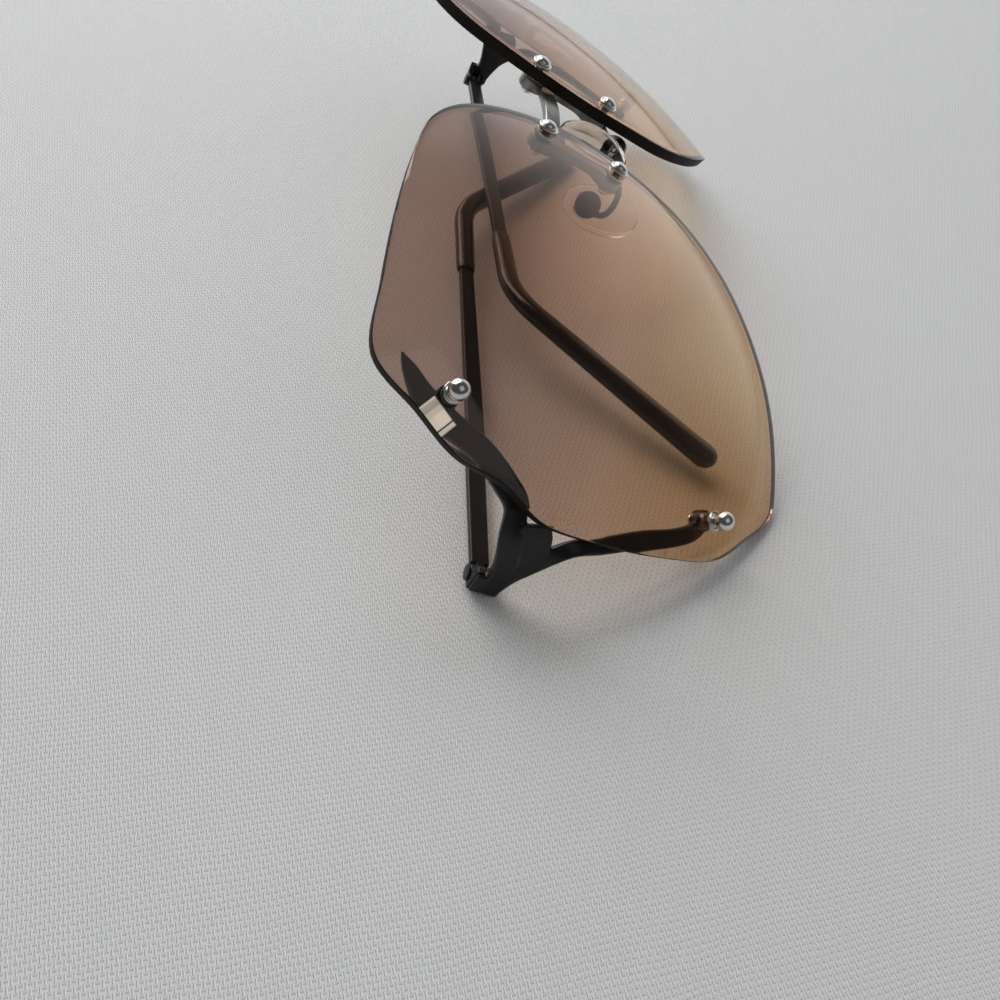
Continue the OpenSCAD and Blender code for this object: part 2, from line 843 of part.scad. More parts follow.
module temple(right) {
  color(gunmetal)
    on_hinge(right)
      difference() {
        union() {
          linear_extrude(arm_t, center = true)
            arm_flat(right ? drop_right : drop_left);
          rotate([90, 0, 0])
            cylinder(r = knuckle_r, h = tongue_h, center = true);
          translate([0, -tongue_h / 2, -arm_t / 2])
            cube([arm_start + 1, tongue_h, arm_t]);
        }
        rotate([90, 0, 0])
          cylinder(r = hinge_r + run_gap, h = 2 * hinge_h, center = true);
      }
}

sleeve_gap = 0.08;

module tip_sleeve(right) {
  drop = right ? drop_right : drop_left;
  ends = 5;
  body = 22;
  mid_t = 2.5;
  end_t = 3.3;
  stops = concat(
    [for (k = [0:body]) mix(arm_l + 0.1, temple_l - sleeve_end_h / 2, k / body)],
    [for (k = [1:ends]) temple_l - sleeve_end_h / 2 * (1 - sin(88 * k / ends))]
  );
  color(brown)
    on_hinge(right)
      difference() {
        loft([
          for (s = stops)
            let(
              c = arm_line(s, drop),
              share = (s - arm_l) / (temple_l - arm_l),
              past = max(0, s - temple_l + sleeve_end_h / 2) / (sleeve_end_h / 2),
              round = sqrt(1 - past * past * 0.999)
            )
            soft_ring(
              [c.x, c.y, 0], [0, 0, -1], [sin(c.z), cos(c.z), 0],
              mix(mid_t, end_t, share) / 2 * round, mix(sleeve_h, sleeve_end_h, pow(share, 1.5)) / 2 * round,
              14, 0.8
            )
        ]);
        linear_extrude(arm_t + 2 * sleeve_gap, center = true)
          core_hole(drop);
      }
}

// The core's outline with a little room, from before the sleeve to just past the core's end
module core_hole(drop) {
  from = arm_l - 1;
  past = core_end + 0.3;
  polygon(concat(
    [for (k = [0:18]) arm_edge(mix(from, past, k / 18), core_h / 2 + sleeve_gap, drop)],
    [for (k = [18:-1:0]) arm_edge(mix(from, past, k / 18), -core_h / 2 - sleeve_gap, drop)]
  ));
}

// Lays the upright pair down: brow raised, rolled to the right, lowest points on the table
module laid() {
  translate(lie_shift)
    rotate([0, -lie_roll, 0])
      rotate([lie_tilt, 0, 0])
        children();
}

laid() lens(true);  // lens_right
laid() lens(false);  // lens_left
laid() bridge_bar();
laid() nose_plate(true);  // nose_plate_right
laid() nose_plate(false);  // nose_plate_left
laid() nose_screws(true);  // nose_screws_right
laid() nose_screws(false);  // nose_screws_left
laid() nose_washers(true);  // nose_washers_right
laid() nose_washers(false);  // nose_washers_left
laid() nose_backers(true);  // nose_backers_right
laid() nose_backers(false);  // nose_backers_left
laid() nose_nuts(true);  // nose_nuts_right
laid() nose_nuts(false);  // nose_nuts_left
laid() pad_wire(true);  // pad_wire_right
laid() pad_wire(false);  // pad_wire_left
laid() pad_cup(true);  // pad_cup_right
laid() pad_cup(false);  // pad_cup_left
laid() pad_pin(true);  // pad_pin_right
laid() pad_pin(false);  // pad_pin_left
laid() nose_pad(true);  // nose_pad_right
laid() nose_pad(false);  // nose_pad_left
laid() end_piece(true);  // end_piece_right
laid() end_piece(false);  // end_piece_left
laid() stone(true);  // stone_right
laid() stone(false);  // stone_left
laid() temple_screws(true);  // temple_screws_right
laid() temple_screws(false);  // temple_screws_left
laid() temple_washers(true);  // temple_washers_right
laid() temple_washers(false);  // temple_washers_left
laid() temple_backers(true);  // temple_backers_right
laid() temple_backers(false);  // temple_backers_left
laid() temple_nuts(true);  // temple_nuts_right
laid() temple_nuts(false);  // temple_nuts_left
laid() hinge_screw(true);  // hinge_screw_right
laid() hinge_screw(false);  // hinge_screw_left
laid() temple(true);  // temple_right
laid() temple(false);  // temple_left
laid() tip_sleeve(true);  // tip_sleeve_right
laid() tip_sleeve(false);  // tip_sleeve_left
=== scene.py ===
"""Looks of a pair of rimless sunglasses with gradient lenses, lying lenses up on a woven cloth.

Sizes are in millimetres in the design frame of the CAD source (X to the wearer's left, Y to the
brow, Z out of the lens fronts). Every finished mesh is laid down into the row frame, in metres.
"""

import logging
import math
from dataclasses import dataclass
from enum import Enum
from typing import Any, Optional, Sequence

import bpy
import numpy as np
from mathutils import Matrix


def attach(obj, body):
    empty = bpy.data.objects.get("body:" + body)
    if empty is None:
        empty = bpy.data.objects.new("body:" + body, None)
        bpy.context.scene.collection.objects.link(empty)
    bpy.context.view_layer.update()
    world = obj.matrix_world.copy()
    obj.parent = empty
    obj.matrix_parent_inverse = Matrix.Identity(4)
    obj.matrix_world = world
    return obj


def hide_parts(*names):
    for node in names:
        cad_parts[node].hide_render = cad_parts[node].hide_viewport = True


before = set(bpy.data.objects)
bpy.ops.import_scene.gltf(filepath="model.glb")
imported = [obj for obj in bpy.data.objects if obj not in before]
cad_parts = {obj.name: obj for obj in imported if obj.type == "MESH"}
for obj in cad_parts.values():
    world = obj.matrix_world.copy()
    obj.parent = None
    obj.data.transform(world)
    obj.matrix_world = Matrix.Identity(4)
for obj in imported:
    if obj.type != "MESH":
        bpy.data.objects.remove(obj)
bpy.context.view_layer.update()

LOG = logging.getLogger("sunglasses")
Array = np.ndarray
Rings = list[Array]
Face = tuple[int, ...]
Colour = Place = tuple[float, float, float]
MM = 1000.0
X, Y, Z = (1, 0, 0), (0, 1, 0), (0, 0, 1)
MIRROR = np.diag([-1.0, 1.0, 1.0])


class Side(Enum):
    """The wearer's side that a piece sits on."""

    RIGHT = "right"
    LEFT = "left"

    @property
    def lean(self) -> float:
        """Lean of the hinge axis before the side is mirrored, in degrees."""
        return 2.0 if self is Side.RIGHT else -2.0


# Node trees


class Value:
    """A socket of a node tree that takes part in Python arithmetic."""

    def __init__(self, graph: "Graph", socket: Any) -> None:
        """Wraps one output socket.

        Args:
            graph: The tree that the socket is in.
            socket: The output socket.
        """
        self.graph = graph
        self.socket = socket

    def _math(self, operation: str, *operands: Any) -> "Value":
        """Adds a Math node on this value and up to two more, and returns its result."""
        return self.graph.math(operation, self, *operands)

    def __add__(self, other: Any) -> "Value":
        """Sum."""
        return self._math("ADD", other)

    __radd__ = __add__

    def __sub__(self, other: Any) -> "Value":
        """Difference."""
        return self._math("SUBTRACT", other)

    def __rsub__(self, other: Any) -> "Value":
        """Difference, with the number first."""
        return self.graph.math("SUBTRACT", other, self)

    def __mul__(self, other: Any) -> "Value":
        """Product."""
        return self._math("MULTIPLY", other)

    __rmul__ = __mul__

    def __truediv__(self, other: Any) -> "Value":
        """Quotient."""
        return self._math("DIVIDE", other)

    def __pow__(self, other: Any) -> "Value":
        """Power."""
        return self._math("POWER", other)

    def sin(self) -> "Value":
        """Sine."""
        return self._math("SINE")

    def cos(self) -> "Value":
        """Cosine."""
        return self._math("COSINE")

    def sqrt(self) -> "Value":
        """Square root."""
        return self._math("SQRT")

    def abs(self) -> "Value":
        """Absolute value."""
        return self._math("ABSOLUTE")

    def sign(self) -> "Value":
        """Sign."""
        return self._math("SIGN")

    def smooth(self, low: float, high: float) -> "Value":
        """Smooth step of the value.

        Args:
            low: Where the step is 0.
            high: Where it is 1.

        Returns:
            The step.
        """
        sockets = {"Value": self, "From Min": low, "From Max": high}
        node = self.graph.node("ShaderNodeMapRange", sockets, interpolation_type="SMOOTHSTEP")
        return self.graph.out(node, "Result")


class Graph:
    """A shader or geometry node tree that is built by method calls."""

    def __init__(self, tree: Any) -> None:
        """Wraps a tree.

        Args:
            tree: The Blender node tree, emptied here.
        """
        self.tree = tree
        tree.nodes.clear()

    def node(self, kind: str, sockets: Optional[dict[Any, Any]] = None, **settings: Any) -> Any:
        """Adds a node.

        Args:
            kind: Blender's name of the node type.
            sockets: Values or links of its inputs, by name or by index.
            **settings: Properties of the node, set first. "stops" sets a colour ramp's stops.

        Returns:
            The new node.
        """
        made = self.tree.nodes.new(kind)
        for key, value in settings.items():
            if key == "stops":
                ramp = made.color_ramp
                while len(ramp.elements) < len(value):
                    ramp.elements.new(0.5)
                for element, (place, colour) in zip(ramp.elements, value):
                    element.position = place
                    element.color = (*colour, 1.0)
            else:
                setattr(made, key, value)
        for key, value in (sockets or {}).items():
            self.feed(made.inputs[key], value)
        return made

    def feed(self, socket: Any, value: Any) -> None:
        """Links a value to an input socket, or sets the socket to a plain number or colour.

        Args:
            socket: The input socket.
            value: A Value, a socket or a plain value.
        """
        if isinstance(value, Value):
            self.tree.links.new(value.socket, socket)
        elif isinstance(value, bpy.types.NodeSocket):
            self.tree.links.new(value, socket)
        else:
            socket.default_value = value

    def out(self, node: Any, key: Any = 0) -> Value:
        """One output of a node as a Value."""
        return Value(self, node.outputs[key])

    def math(self, operation: str, *operands: Any) -> Value:
        """A Math node on one to three operands."""
        return self.out(self.node("ShaderNodeMath", dict(enumerate(operands)), operation=operation))

    def split(self, vector: Any) -> tuple[Value, Value, Value]:
        """The three parts of a vector."""
        node = self.node("ShaderNodeSeparateXYZ", {0: vector})
        return self.out(node, 0), self.out(node, 1), self.out(node, 2)

    def join(self, x: Any, y: Any, z: Any) -> Value:
        """A vector of three values."""
        return self.out(self.node("ShaderNodeCombineXYZ", {0: x, 1: y, 2: z}))

    def blend(self, factor: Any, a: Any, b: Any) -> Value:
        """Colour a where factor is 0 and b where it is 1."""
        node = self.node("ShaderNodeMix", {"Factor": factor, 6: a, 7: b}, data_type="RGBA")
        return self.out(node, 2)


# The frame that the glasses are designed in, and how they lie


@dataclass(frozen=True)
class Lie:
    """How the pair lies on the cloth: the same numbers as in the CAD source."""

    tilt: float = 15.97
    roll: float = 1.65
    shift: Place = (-0.82, 1.86, 36.36)

    @property
    def turn(self) -> Array:
        """Rotation from the design frame to the row frame."""
        return turn_y(-self.roll) @ turn_x(self.tilt)

    def lay(self, points: Array) -> Array:
        """Design points in millimetres as row points in metres."""
        return (np.asarray(points, float) @ self.turn.T + np.array(self.shift)) / MM

    def unlay(self, point: Any) -> Array:
        """A row point in metres as a design point in millimetres."""
        return (np.asarray(point, float) * MM - np.array(self.shift)) @ self.turn


def turn_x(degrees: float) -> Array:
    """Rotation about X."""
    c, s = math.cos(math.radians(degrees)), math.sin(math.radians(degrees))
    return np.array([[1, 0, 0], [0, c, -s], [0, s, c]])


def turn_y(degrees: float) -> Array:
    """Rotation about Y."""
    c, s = math.cos(math.radians(degrees)), math.sin(math.radians(degrees))
    return np.array([[c, 0, s], [0, 1, 0], [-s, 0, c]])


def turn_z(degrees: float) -> Array:
    """Rotation about Z."""
    c, s = math.cos(math.radians(degrees)), math.sin(math.radians(degrees))
    return np.array([[c, -s, 0], [s, c, 0], [0, 0, 1]])


def unit(vector: Any) -> Array:
    """The vector at length 1."""
    vector = np.asarray(vector, float)
    return vector / np.linalg.norm(vector)


def mix(a: Any, b: Any, share: float) -> Any:
    """Part of the way from a to b."""
    return a * (1 - share) + b * share


def spline(a: Array, b: Array, c: Array, d: Array, t: float) -> Array:
    """A point between b and c on the smooth curve through four points.

    Args:
        a: The point before b.
        b: Start of the stretch.
        c: End of the stretch.
        d: The point after c.
        t: Share of the way from b to c.

    Returns:
        The point.
    """
    bend, twist = 2 * a - 5 * b + 4 * c - d, 3 * b - a - 3 * c + d
    return 0.5 * (2 * b + (c - a) * t + bend * t**2 + twist * t**3)


def on_path(path: Any, t: float) -> Array:
    """A point on a smooth curve through a path's points.

    Args:
        path: Points or numbers.
        t: Place along it, counted in points.

    Returns:
        The point.
    """
    path = np.asarray(path, float)
    i = min(int(t), len(path) - 2)
    before, after = path[max(i - 1, 0)], path[min(i + 2, len(path) - 1)]
    return spline(before, path[i], path[i + 1], after, t - i)


def on_loop(path: Any, t: float) -> Array:
    """A point on a smooth closed curve through a path's points.

    Args:
        path: The points.
        t: Place along it, counted in points.

    Returns:
        The point.
    """
    path, i = np.asarray(path, float), int(t)
    return spline(*(path[(i + k) % len(path)] for k in (-1, 0, 1, 2)), t - i)


def aim(at: Any, along: Any, across: Any) -> tuple[Array, Array]:
    """A place whose Z runs along one direction and whose X is near another.

    Args:
        at: The place.
        along: Direction of Z.
        across: Direction that X is near.

    Returns:
        The rotation, with the axes as columns, and the place.
    """
    z = unit(along)
    across = np.asarray(across, float)
    x = unit(across - (across @ z) * z)
    return np.column_stack([x, np.cross(z, x), z]), np.asarray(at, float)


# Meshes

LIE = Lie()


def soft_ring(at: Any, u: Any, v: Any, a: float, b: float, sides: int, power: float) -> Array:
    """Closed ring with soft corners, half sizes a and b along u and v.

    Args:
        at: Its middle.
        u: Direction of the first half size.
        v: Direction of the second half size.
        a: Half size along u.
        b: Half size along v.
        sides: Number of points.
        power: 1 for an ellipse, near 0 for a rectangle.

    Returns:
        The points.
    """
    t = 2 * math.pi * (np.arange(sides) + 0.5) / sides
    c, s = np.cos(t), np.sin(t)
    cu = (a * np.sign(c) * np.abs(c) ** power)[:, None]
    sv = (b * np.sign(s) * np.abs(s) ** power)[:, None]
    return np.asarray(at, float) + cu * np.asarray(u, float) + sv * np.asarray(v, float)


def round_rings(levels: Sequence[float], radius: float, sides: int) -> Rings:
    """Equal circles about Z, one at each level."""
    return [soft_ring((0, 0, z), X, Y, radius, radius, sides, 1.0) for z in levels]


def loft(rings: Rings) -> tuple[Array, list[Face]]:
    """Closed skin through rings.

    Args:
        rings: The rings, which all have the same number of points.

    Returns:
        The points and the faces.
    """
    n, m = len(rings[0]), len(rings)
    faces: list[Face] = [tuple(range(n - 1, -1, -1))]
    for k in range(m - 1):
        for i in range(n):
            j = (i + 1) % n
            faces.append((k * n + i, k * n + j, (k + 1) * n + j, (k + 1) * n + i))
    faces.append(tuple((m - 1) * n + i for i in range(n)))
    return np.vstack(rings), faces


@dataclass(frozen=True)
class Strip:
    """A strip that follows a path, with its flat side to given directions."""

    path: Any
    faces: Any
    half_width: Any
    half_thickness: Any
    sides: int = 36
    steps: int = 60
    power: float = 0.34
    nudge: float = 0.02

    def shape(self) -> "Shape":
        """The strip's skin.

        Returns:
            The loft through its cross sections.
        """
        rings = []
        last = len(self.path) - 1
        for k in range(self.steps + 1):
            t = k / self.steps * last
            ahead = on_path(self.path, min(t + self.nudge, last))
            way = unit(ahead - on_path(self.path, max(t - self.nudge, 0)))
            face = on_path(self.faces, t)
            v = unit(face - (face @ way) * way)
            half, thin = float(on_path(self.half_width, t)), float(on_path(self.half_thickness, t))
            at, u = on_path(self.path, t), np.cross(v, way)
            rings.append(soft_ring(at, u, v, half, thin, self.sides, self.power))
        return Shape.of(rings).outwards()


@dataclass
class Shape:
    """Vertices in design millimetres and faces, on their way to becoming an object."""

    points: Array
    faces: list[Face]

    @classmethod
    def of(cls, rings: Rings) -> "Shape":
        """The loft through rings."""
        return cls(*loft(rings))

    @classmethod
    def joined(cls, shapes: Sequence["Shape"]) -> "Shape":
        """Several shapes as one, without merging them.

        Args:
            shapes: The shapes.

        Returns:
            The joined shape.
        """
        points, faces, base = [], [], 0
        for shape in shapes:
            points.append(shape.points)
            faces += [tuple(i + base for i in face) for face in shape.faces]
            base += len(shape.points)
        return cls(np.vstack(points), faces)

    def placed(self, turn: Array, at: Any) -> "Shape":
        """The shape turned, then moved. A turn that mirrors keeps the faces outwards.

        Args:
            turn: The rotation or mirroring.
            at: The move.

        Returns:
            The new shape.
        """
        faces = self.faces
        if np.linalg.det(turn) < 0:
            faces = [face[::-1] for face in faces]
        return Shape(self.points @ turn.T + np.asarray(at, float), faces)

    def on_side(self, side: Side) -> "Shape":
        """A left-hand shape, mirrored if the side is the right one."""
        return self if side is Side.LEFT else self.placed(MIRROR, (0, 0, 0))

    def outwards(self) -> "Shape":
        """Turns the faces outwards, if they all point in.

        Returns:
            The shape, with the right side of its faces out.
        """
        volume = 0.0
        for face in self.faces:
            p = self.points[list(face)]
            for k in range(1, len(face) - 1):
                volume += float(np.dot(p[0], np.cross(p[k], p[k + 1])))
        return self if volume > 0 else Shape(self.points, [face[::-1] for face in self.faces])

    def made(
        self, name: str, material: Optional[bpy.types.Material], sharp: float = 40.0
    ) -> bpy.types.Object:
        """The shape as an object in the row frame.

        Args:
            name: The piece's name.
            material: Its finish.
            sharp: Edges steeper than this many degrees stay crisp; 0 leaves every face flat.

        Returns:
            The object, at the origin.
        """
        shape = self.outwards()
        mesh = bpy.data.meshes.new(name)
        mesh.from_pydata(LIE.lay(shape.points).tolist(), [], shape.faces)
        mesh.update()
        dress(mesh, material, sharp)
        return linked(name, mesh)


def linked(name: str, data: Any) -> bpy.types.Object:
    """Adds an object to the scene.

    Args:
        name: Its name.
        data: Its mesh, light or camera.

    Returns:
        The object.
    """
    obj = bpy.data.objects.new(name, data)
    bpy.context.scene.collection.objects.link(obj)
    return obj


def dress(mesh: bpy.types.Mesh, material: Optional[bpy.types.Material], sharp: float) -> None:
    """Gives a mesh its finish and its crisp edges.

    Args:
        mesh: The mesh.
        material: The finish, or None to leave it.
        sharp: Edges steeper than this many degrees stay crisp; 0 leaves every face flat.
    """
    if material is not None:
        mesh.materials.clear()
        mesh.materials.append(material)
    if sharp > 0:
        mesh.shade_smooth()
        mesh.set_sharp_from_angle(angle=math.radians(sharp))
    else:
        mesh.shade_flat()


def baked(obj: bpy.types.Object) -> bpy.types.Object:
    """Turns what an object's modifiers make into its plain mesh, and removes them.

    Args:
        obj: The object.

    Returns:
        The same object.
    """
    graph = bpy.context.evaluated_depsgraph_get()
    graph.update()
    mesh = bpy.data.meshes.new_from_object(obj.evaluated_get(graph))
    mesh.name = obj.name
    obj.modifiers.clear()
    obj.data = mesh
    return obj


def modified(obj: bpy.types.Object, kind: str, **settings: Any) -> bpy.types.Object:
    """Runs one modifier on an object and keeps its result as the object's mesh.

    Args:
        obj: The object.
        kind: Blender's name of the modifier type.
        **settings: The modifier's properties.

    Returns:
        The same object.
    """
    modifier = obj.modifiers.new(kind.title(), kind)
    for key, value in settings.items():
        setattr(modifier, key, value)
    return baked(obj)


def carved(obj: bpy.types.Object, cutter: bpy.types.Object) -> bpy.types.Object:
    """Cuts a helper object out of another and removes the helper.

    Args:
        obj: The object.
        cutter: The helper.

    Returns:
        The same object.
    """
    modified(obj, "BOOLEAN", object=cutter, operation="DIFFERENCE", solver="EXACT")
    bpy.data.objects.remove(cutter, do_unlink=True)
    return obj


def ride(obj: bpy.types.Object, body: str, slot: str, *nodes: str) -> None:
    """Puts a finished piece on its body, in place of its CAD nodes.

    Args:
        obj: The piece.
        body: The body that carries it.
        slot: The record's material slot; not used.
        *nodes: The CAD nodes that it stands for.
    """
    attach(obj, body)
    if nodes:
        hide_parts(*nodes)
    LOG.info("%s: %d faces on %s", obj.name, len(obj.data.polygons), body)


# Geometry node groups


SOCKET_KINDS = {
    "Geometry": "NodeSocketGeometry", "Material": "NodeSocketMaterial", "Sides": "NodeSocketInt",
}


def new_group(name: str, inputs: dict[str, Optional[float]]) -> tuple[Any, Graph, Any]:
    """A geometry node group with named inputs and one geometry output.

    Args:
        name: The group's name.
        inputs: Defaults by the names of the inputs after the geometry. None leaves Blender's own.

    Returns:
        The group, its graph and its input node.
    """
    group = bpy.data.node_groups.new(name, "GeometryNodeTree")
    for label, default in {"Geometry": None, **inputs, "Material": None}.items():
        kind = SOCKET_KINDS.get(label, "NodeSocketFloat")
        socket = group.interface.new_socket(label, in_out="INPUT", socket_type=kind)
        if default is not None:
            socket.default_value = default
    group.interface.new_socket("Geometry", in_out="OUTPUT", socket_type="NodeSocketGeometry")
    graph = Graph(group)
    return group, graph, graph.node("NodeGroupInput")


def end_group(graph: Graph, geometry: Any, given: Any) -> None:
    """Ends a group's tree: makes its instances real and sets the finish.

    Args:
        graph: The group's graph.
        geometry: The node whose first output is the result.
        given: The group's input node, whose last input is the finish.
    """
    real = graph.node("GeometryNodeRealizeInstances", {0: geometry.outputs[0]})
    finish = given.outputs["Material"]
    done = graph.node(
        "GeometryNodeSetMaterial", {"Geometry": real.outputs[0], "Material": finish}
    )
    graph.node("NodeGroupOutput", {0: done.outputs[0]})


@dataclass
class Seed:
    """A helper mesh in design millimetres that a node group grows a shape from."""

    points: Any
    edges: Sequence[tuple[int, int]] = ()
    faces: Sequence[Face] = ()
    outs: Optional[Array] = None

    def grown(self, name: str, group: Any, inputs: dict[str, Any]) -> Shape:
        """Runs a geometry node group on the helper mesh.

        Args:
            name: The helper's name.
            group: The node group.
            inputs: Values by the names of the group's inputs.

        Returns:
            What the group makes.
        """
        mesh = bpy.data.meshes.new(name)
        points = np.asarray(self.points, float).tolist()
        mesh.from_pydata(points, list(self.edges), list(self.faces))
        if self.outs is not None:
            outs = mesh.attributes.new("out", "FLOAT_VECTOR", "POINT")
            outs.data.foreach_set("vector", self.outs.ravel())
        helper = linked(name, mesh)
        modifier = helper.modifiers.new(group.name, "NODES")
        modifier.node_group = group
        for item in group.interface.items_tree:
            if item.in_out == "INPUT" and item.name in inputs:
                modifier[item.identifier] = inputs[item.name]
        mesh = baked(helper).data
        points = np.array([v.co for v in mesh.vertices], float)
        faces = [tuple(f.vertices) for f in mesh.polygons]
        bpy.data.objects.remove(helper, do_unlink=True)
        return Shape(points, faces)


# Finishes


def new_material(name: str) -> tuple[bpy.types.Material, Graph]:
    """Makes an empty material.

    Args:
        name: Its name.

    Returns:
        The material and its graph.
    """
    material = bpy.data.materials.new(name)
    material.use_nodes = True
    return material, Graph(material.node_tree)


def surface(graph: Graph, sockets: dict[str, Any]) -> None:
    """Wires a Principled BSDF to the material's output.

    Args:
        graph: The material's graph.
        sockets: Values or links of the shader's inputs.
    """
    shader = graph.node("ShaderNodeBsdfPrincipled", sockets)
    graph.node("ShaderNodeOutputMaterial", {"Surface": shader.outputs[0]})


def two_faced(graph: Graph, factor: Value, a: Any, b: Any) -> None:
    """Wires a mix of two shaders to the material's output.

    Args:
        graph: The material's graph.
        factor: 0 where the first shader shows, 1 where the second does.
        a: The first shader.
        b: The second shader.
    """
    both = graph.node("ShaderNodeMixShader", {0: factor, 1: a.outputs[0], 2: b.outputs[0]})
    graph.node("ShaderNodeOutputMaterial", {"Surface": both.outputs[0]})


def place(graph: Graph) -> Value:
    """Object coordinates, in metres."""
    return graph.out(graph.node("ShaderNodeTexCoord"), "Object")


def noise(graph: Graph, scale: float, detail: float = 3.0) -> Value:
    """Cloudy noise from 0 to 1."""
    sockets = {"Vector": place(graph), "Scale": scale, "Detail": detail}
    return graph.out(graph.node("ShaderNodeTexNoise", sockets), "Fac")


def bump(graph: Graph, height: Value, strength: float, distance: float) -> Value:
    """Normals of a relief whose full height is a distance in metres."""
    sockets = {"Strength": strength, "Distance": distance, "Height": height}
    return graph.out(graph.node("ShaderNodeBump", sockets), "Normal")


@dataclass(frozen=True)
class LensTint:
    """Gradient tint: mauve at the brow, fading to amber at the cheek."""

    brow: Colour = (0.45, 0.305, 0.25)
    middle: Colour = (0.79, 0.565, 0.43)
    cheek: Colour = (0.79, 0.55, 0.31)
    shade: Colour = (0.72, 0.645, 0.585)
    stops: Place = (0.05, 0.55, 1.0)
    fade: tuple[float, float] = (-38.0, 24.0)
    ior: float = 1.5

    def material(self) -> bpy.types.Material:
        """Builds the finish.

        Returns:
            The material.
        """
        material, graph = new_material("lens_tint")
        x, y, z = graph.split(place(graph))
        up = LIE.turn @ np.array([0, 1, 0])
        height = x * float(up[0]) + y * float(up[1]) + z * float(up[2])
        cloud = noise(graph, 60.0) * 0.002
        low, high = (float(up @ LIE.lay([[20, level, -2]])[0]) for level in self.fade)
        share = (height + cloud).smooth(low, high)
        stops = list(zip(self.stops, (self.cheek, self.middle, self.brow)))
        ramp = graph.node("ShaderNodeValToRGB", {"Fac": share}, stops=stops)
        glass = graph.node(
            "ShaderNodeBsdfPrincipled",
            {
                "Base Color": graph.out(ramp), "Roughness": noise(graph, 140.0, 6.0) * 0.03 + 0.005,
                "IOR": self.ior, "Transmission Weight": 1.0,
            },
        )
        # light that only falls through onto the cloth is tinted, not blocked
        through = graph.node("ShaderNodeBsdfTransparent", {"Color": (*self.shade, 1)})
        falling = graph.out(graph.node("ShaderNodeLightPath"), "Is Shadow Ray")
        two_faced(graph, falling, glass, through)
        return material


@dataclass(frozen=True)
class GroundRim:
    """The lens's ground rim: dark from outside, lighter where it is seen through the lens."""

    dark: Colour = (0.014, 0.012, 0.009)
    inner: Colour = (0.42, 0.32, 0.25)
    seen_through: float = 0.3

    def material(self) -> bpy.types.Material:
        """Builds the finish.

        Returns:
            The material.
        """
        material, graph = new_material("ground_rim")
        grinding = noise(graph, 4000.0, 3.0)
        dark = graph.node(
            "ShaderNodeBsdfPrincipled",
            {
                "Base Color": (*self.dark, 1), "Roughness": grinding * 0.1 + 0.45, "IOR": 1.5,
                "Specular IOR Level": 0.05, "Normal": bump(graph, grinding, 0.1, 0.00002),
            },
        )
        tint = {"Base Color": (*self.inner, 1), "Roughness": 0.05, "IOR": 1.5}
        clear = graph.node("ShaderNodeBsdfPrincipled", {**tint, "Transmission Weight": 1.0})
        inside = graph.out(graph.node("ShaderNodeNewGeometry"), "Backfacing")
        two_faced(graph, inside * self.seen_through, dark, clear)
        return material


@dataclass(frozen=True)
class PlatedMetal:
    """Dark plated metal with a satin skin, a little brighter where it is rubbed."""

    name: str
    base: Colour
    worn: Colour
    metallic: float
    roughness: float
    coat: float = 0.0
    specular: float = 0.5
    patch_scale: float = 350.0
    grain_scale: float = 4000.0

    def material(self) -> bpy.types.Material:
        """Builds the finish.

        Returns:
            The material.
        """
        material, graph = new_material(self.name)
        patches = noise(graph, self.patch_scale, 5.0)
        grain = noise(graph, self.grain_scale, 2.0)
        rubbed = patches.smooth(0.4, 0.75)
        surface(
            graph,
            {
                "Base Color": graph.blend(rubbed, (*self.base, 1), (*self.worn, 1)),
                "Metallic": self.metallic,
                "Roughness": patches * 0.12 + (self.roughness - 0.06),
                "Coat Weight": self.coat,
                "Coat Roughness": 0.12,
                "Specular IOR Level": self.specular,
                "Normal": bump(graph, grain, 0.06, 0.00002),
            },
        )
        return material


@dataclass(frozen=True)
class ClearPlastic:
    """See-through moulded plastic or silicone."""

    name: str
    base: Colour
    transmission: float
    roughness: float
    ior: float
    waviness: float = 0.0

    def material(self) -> bpy.types.Material:
        """Builds the finish.

        Returns:
            The material.
        """
        material, graph = new_material(self.name)
        clouds = noise(graph, 500.0, 3.0)
        darker = tuple(0.94 * part for part in self.base)
        sockets: dict[str, Any] = {
            "Base Color": graph.blend(clouds, (*darker, 1), (*self.base, 1)),
            "Roughness": clouds * 0.06 + (self.roughness - 0.03),
            "IOR": self.ior,
            "Transmission Weight": self.transmission,
        }
        if self.waviness > 0:
            sockets["Normal"] = bump(graph, clouds, self.waviness, 0.0002)
        surface(graph, sockets)
        return material


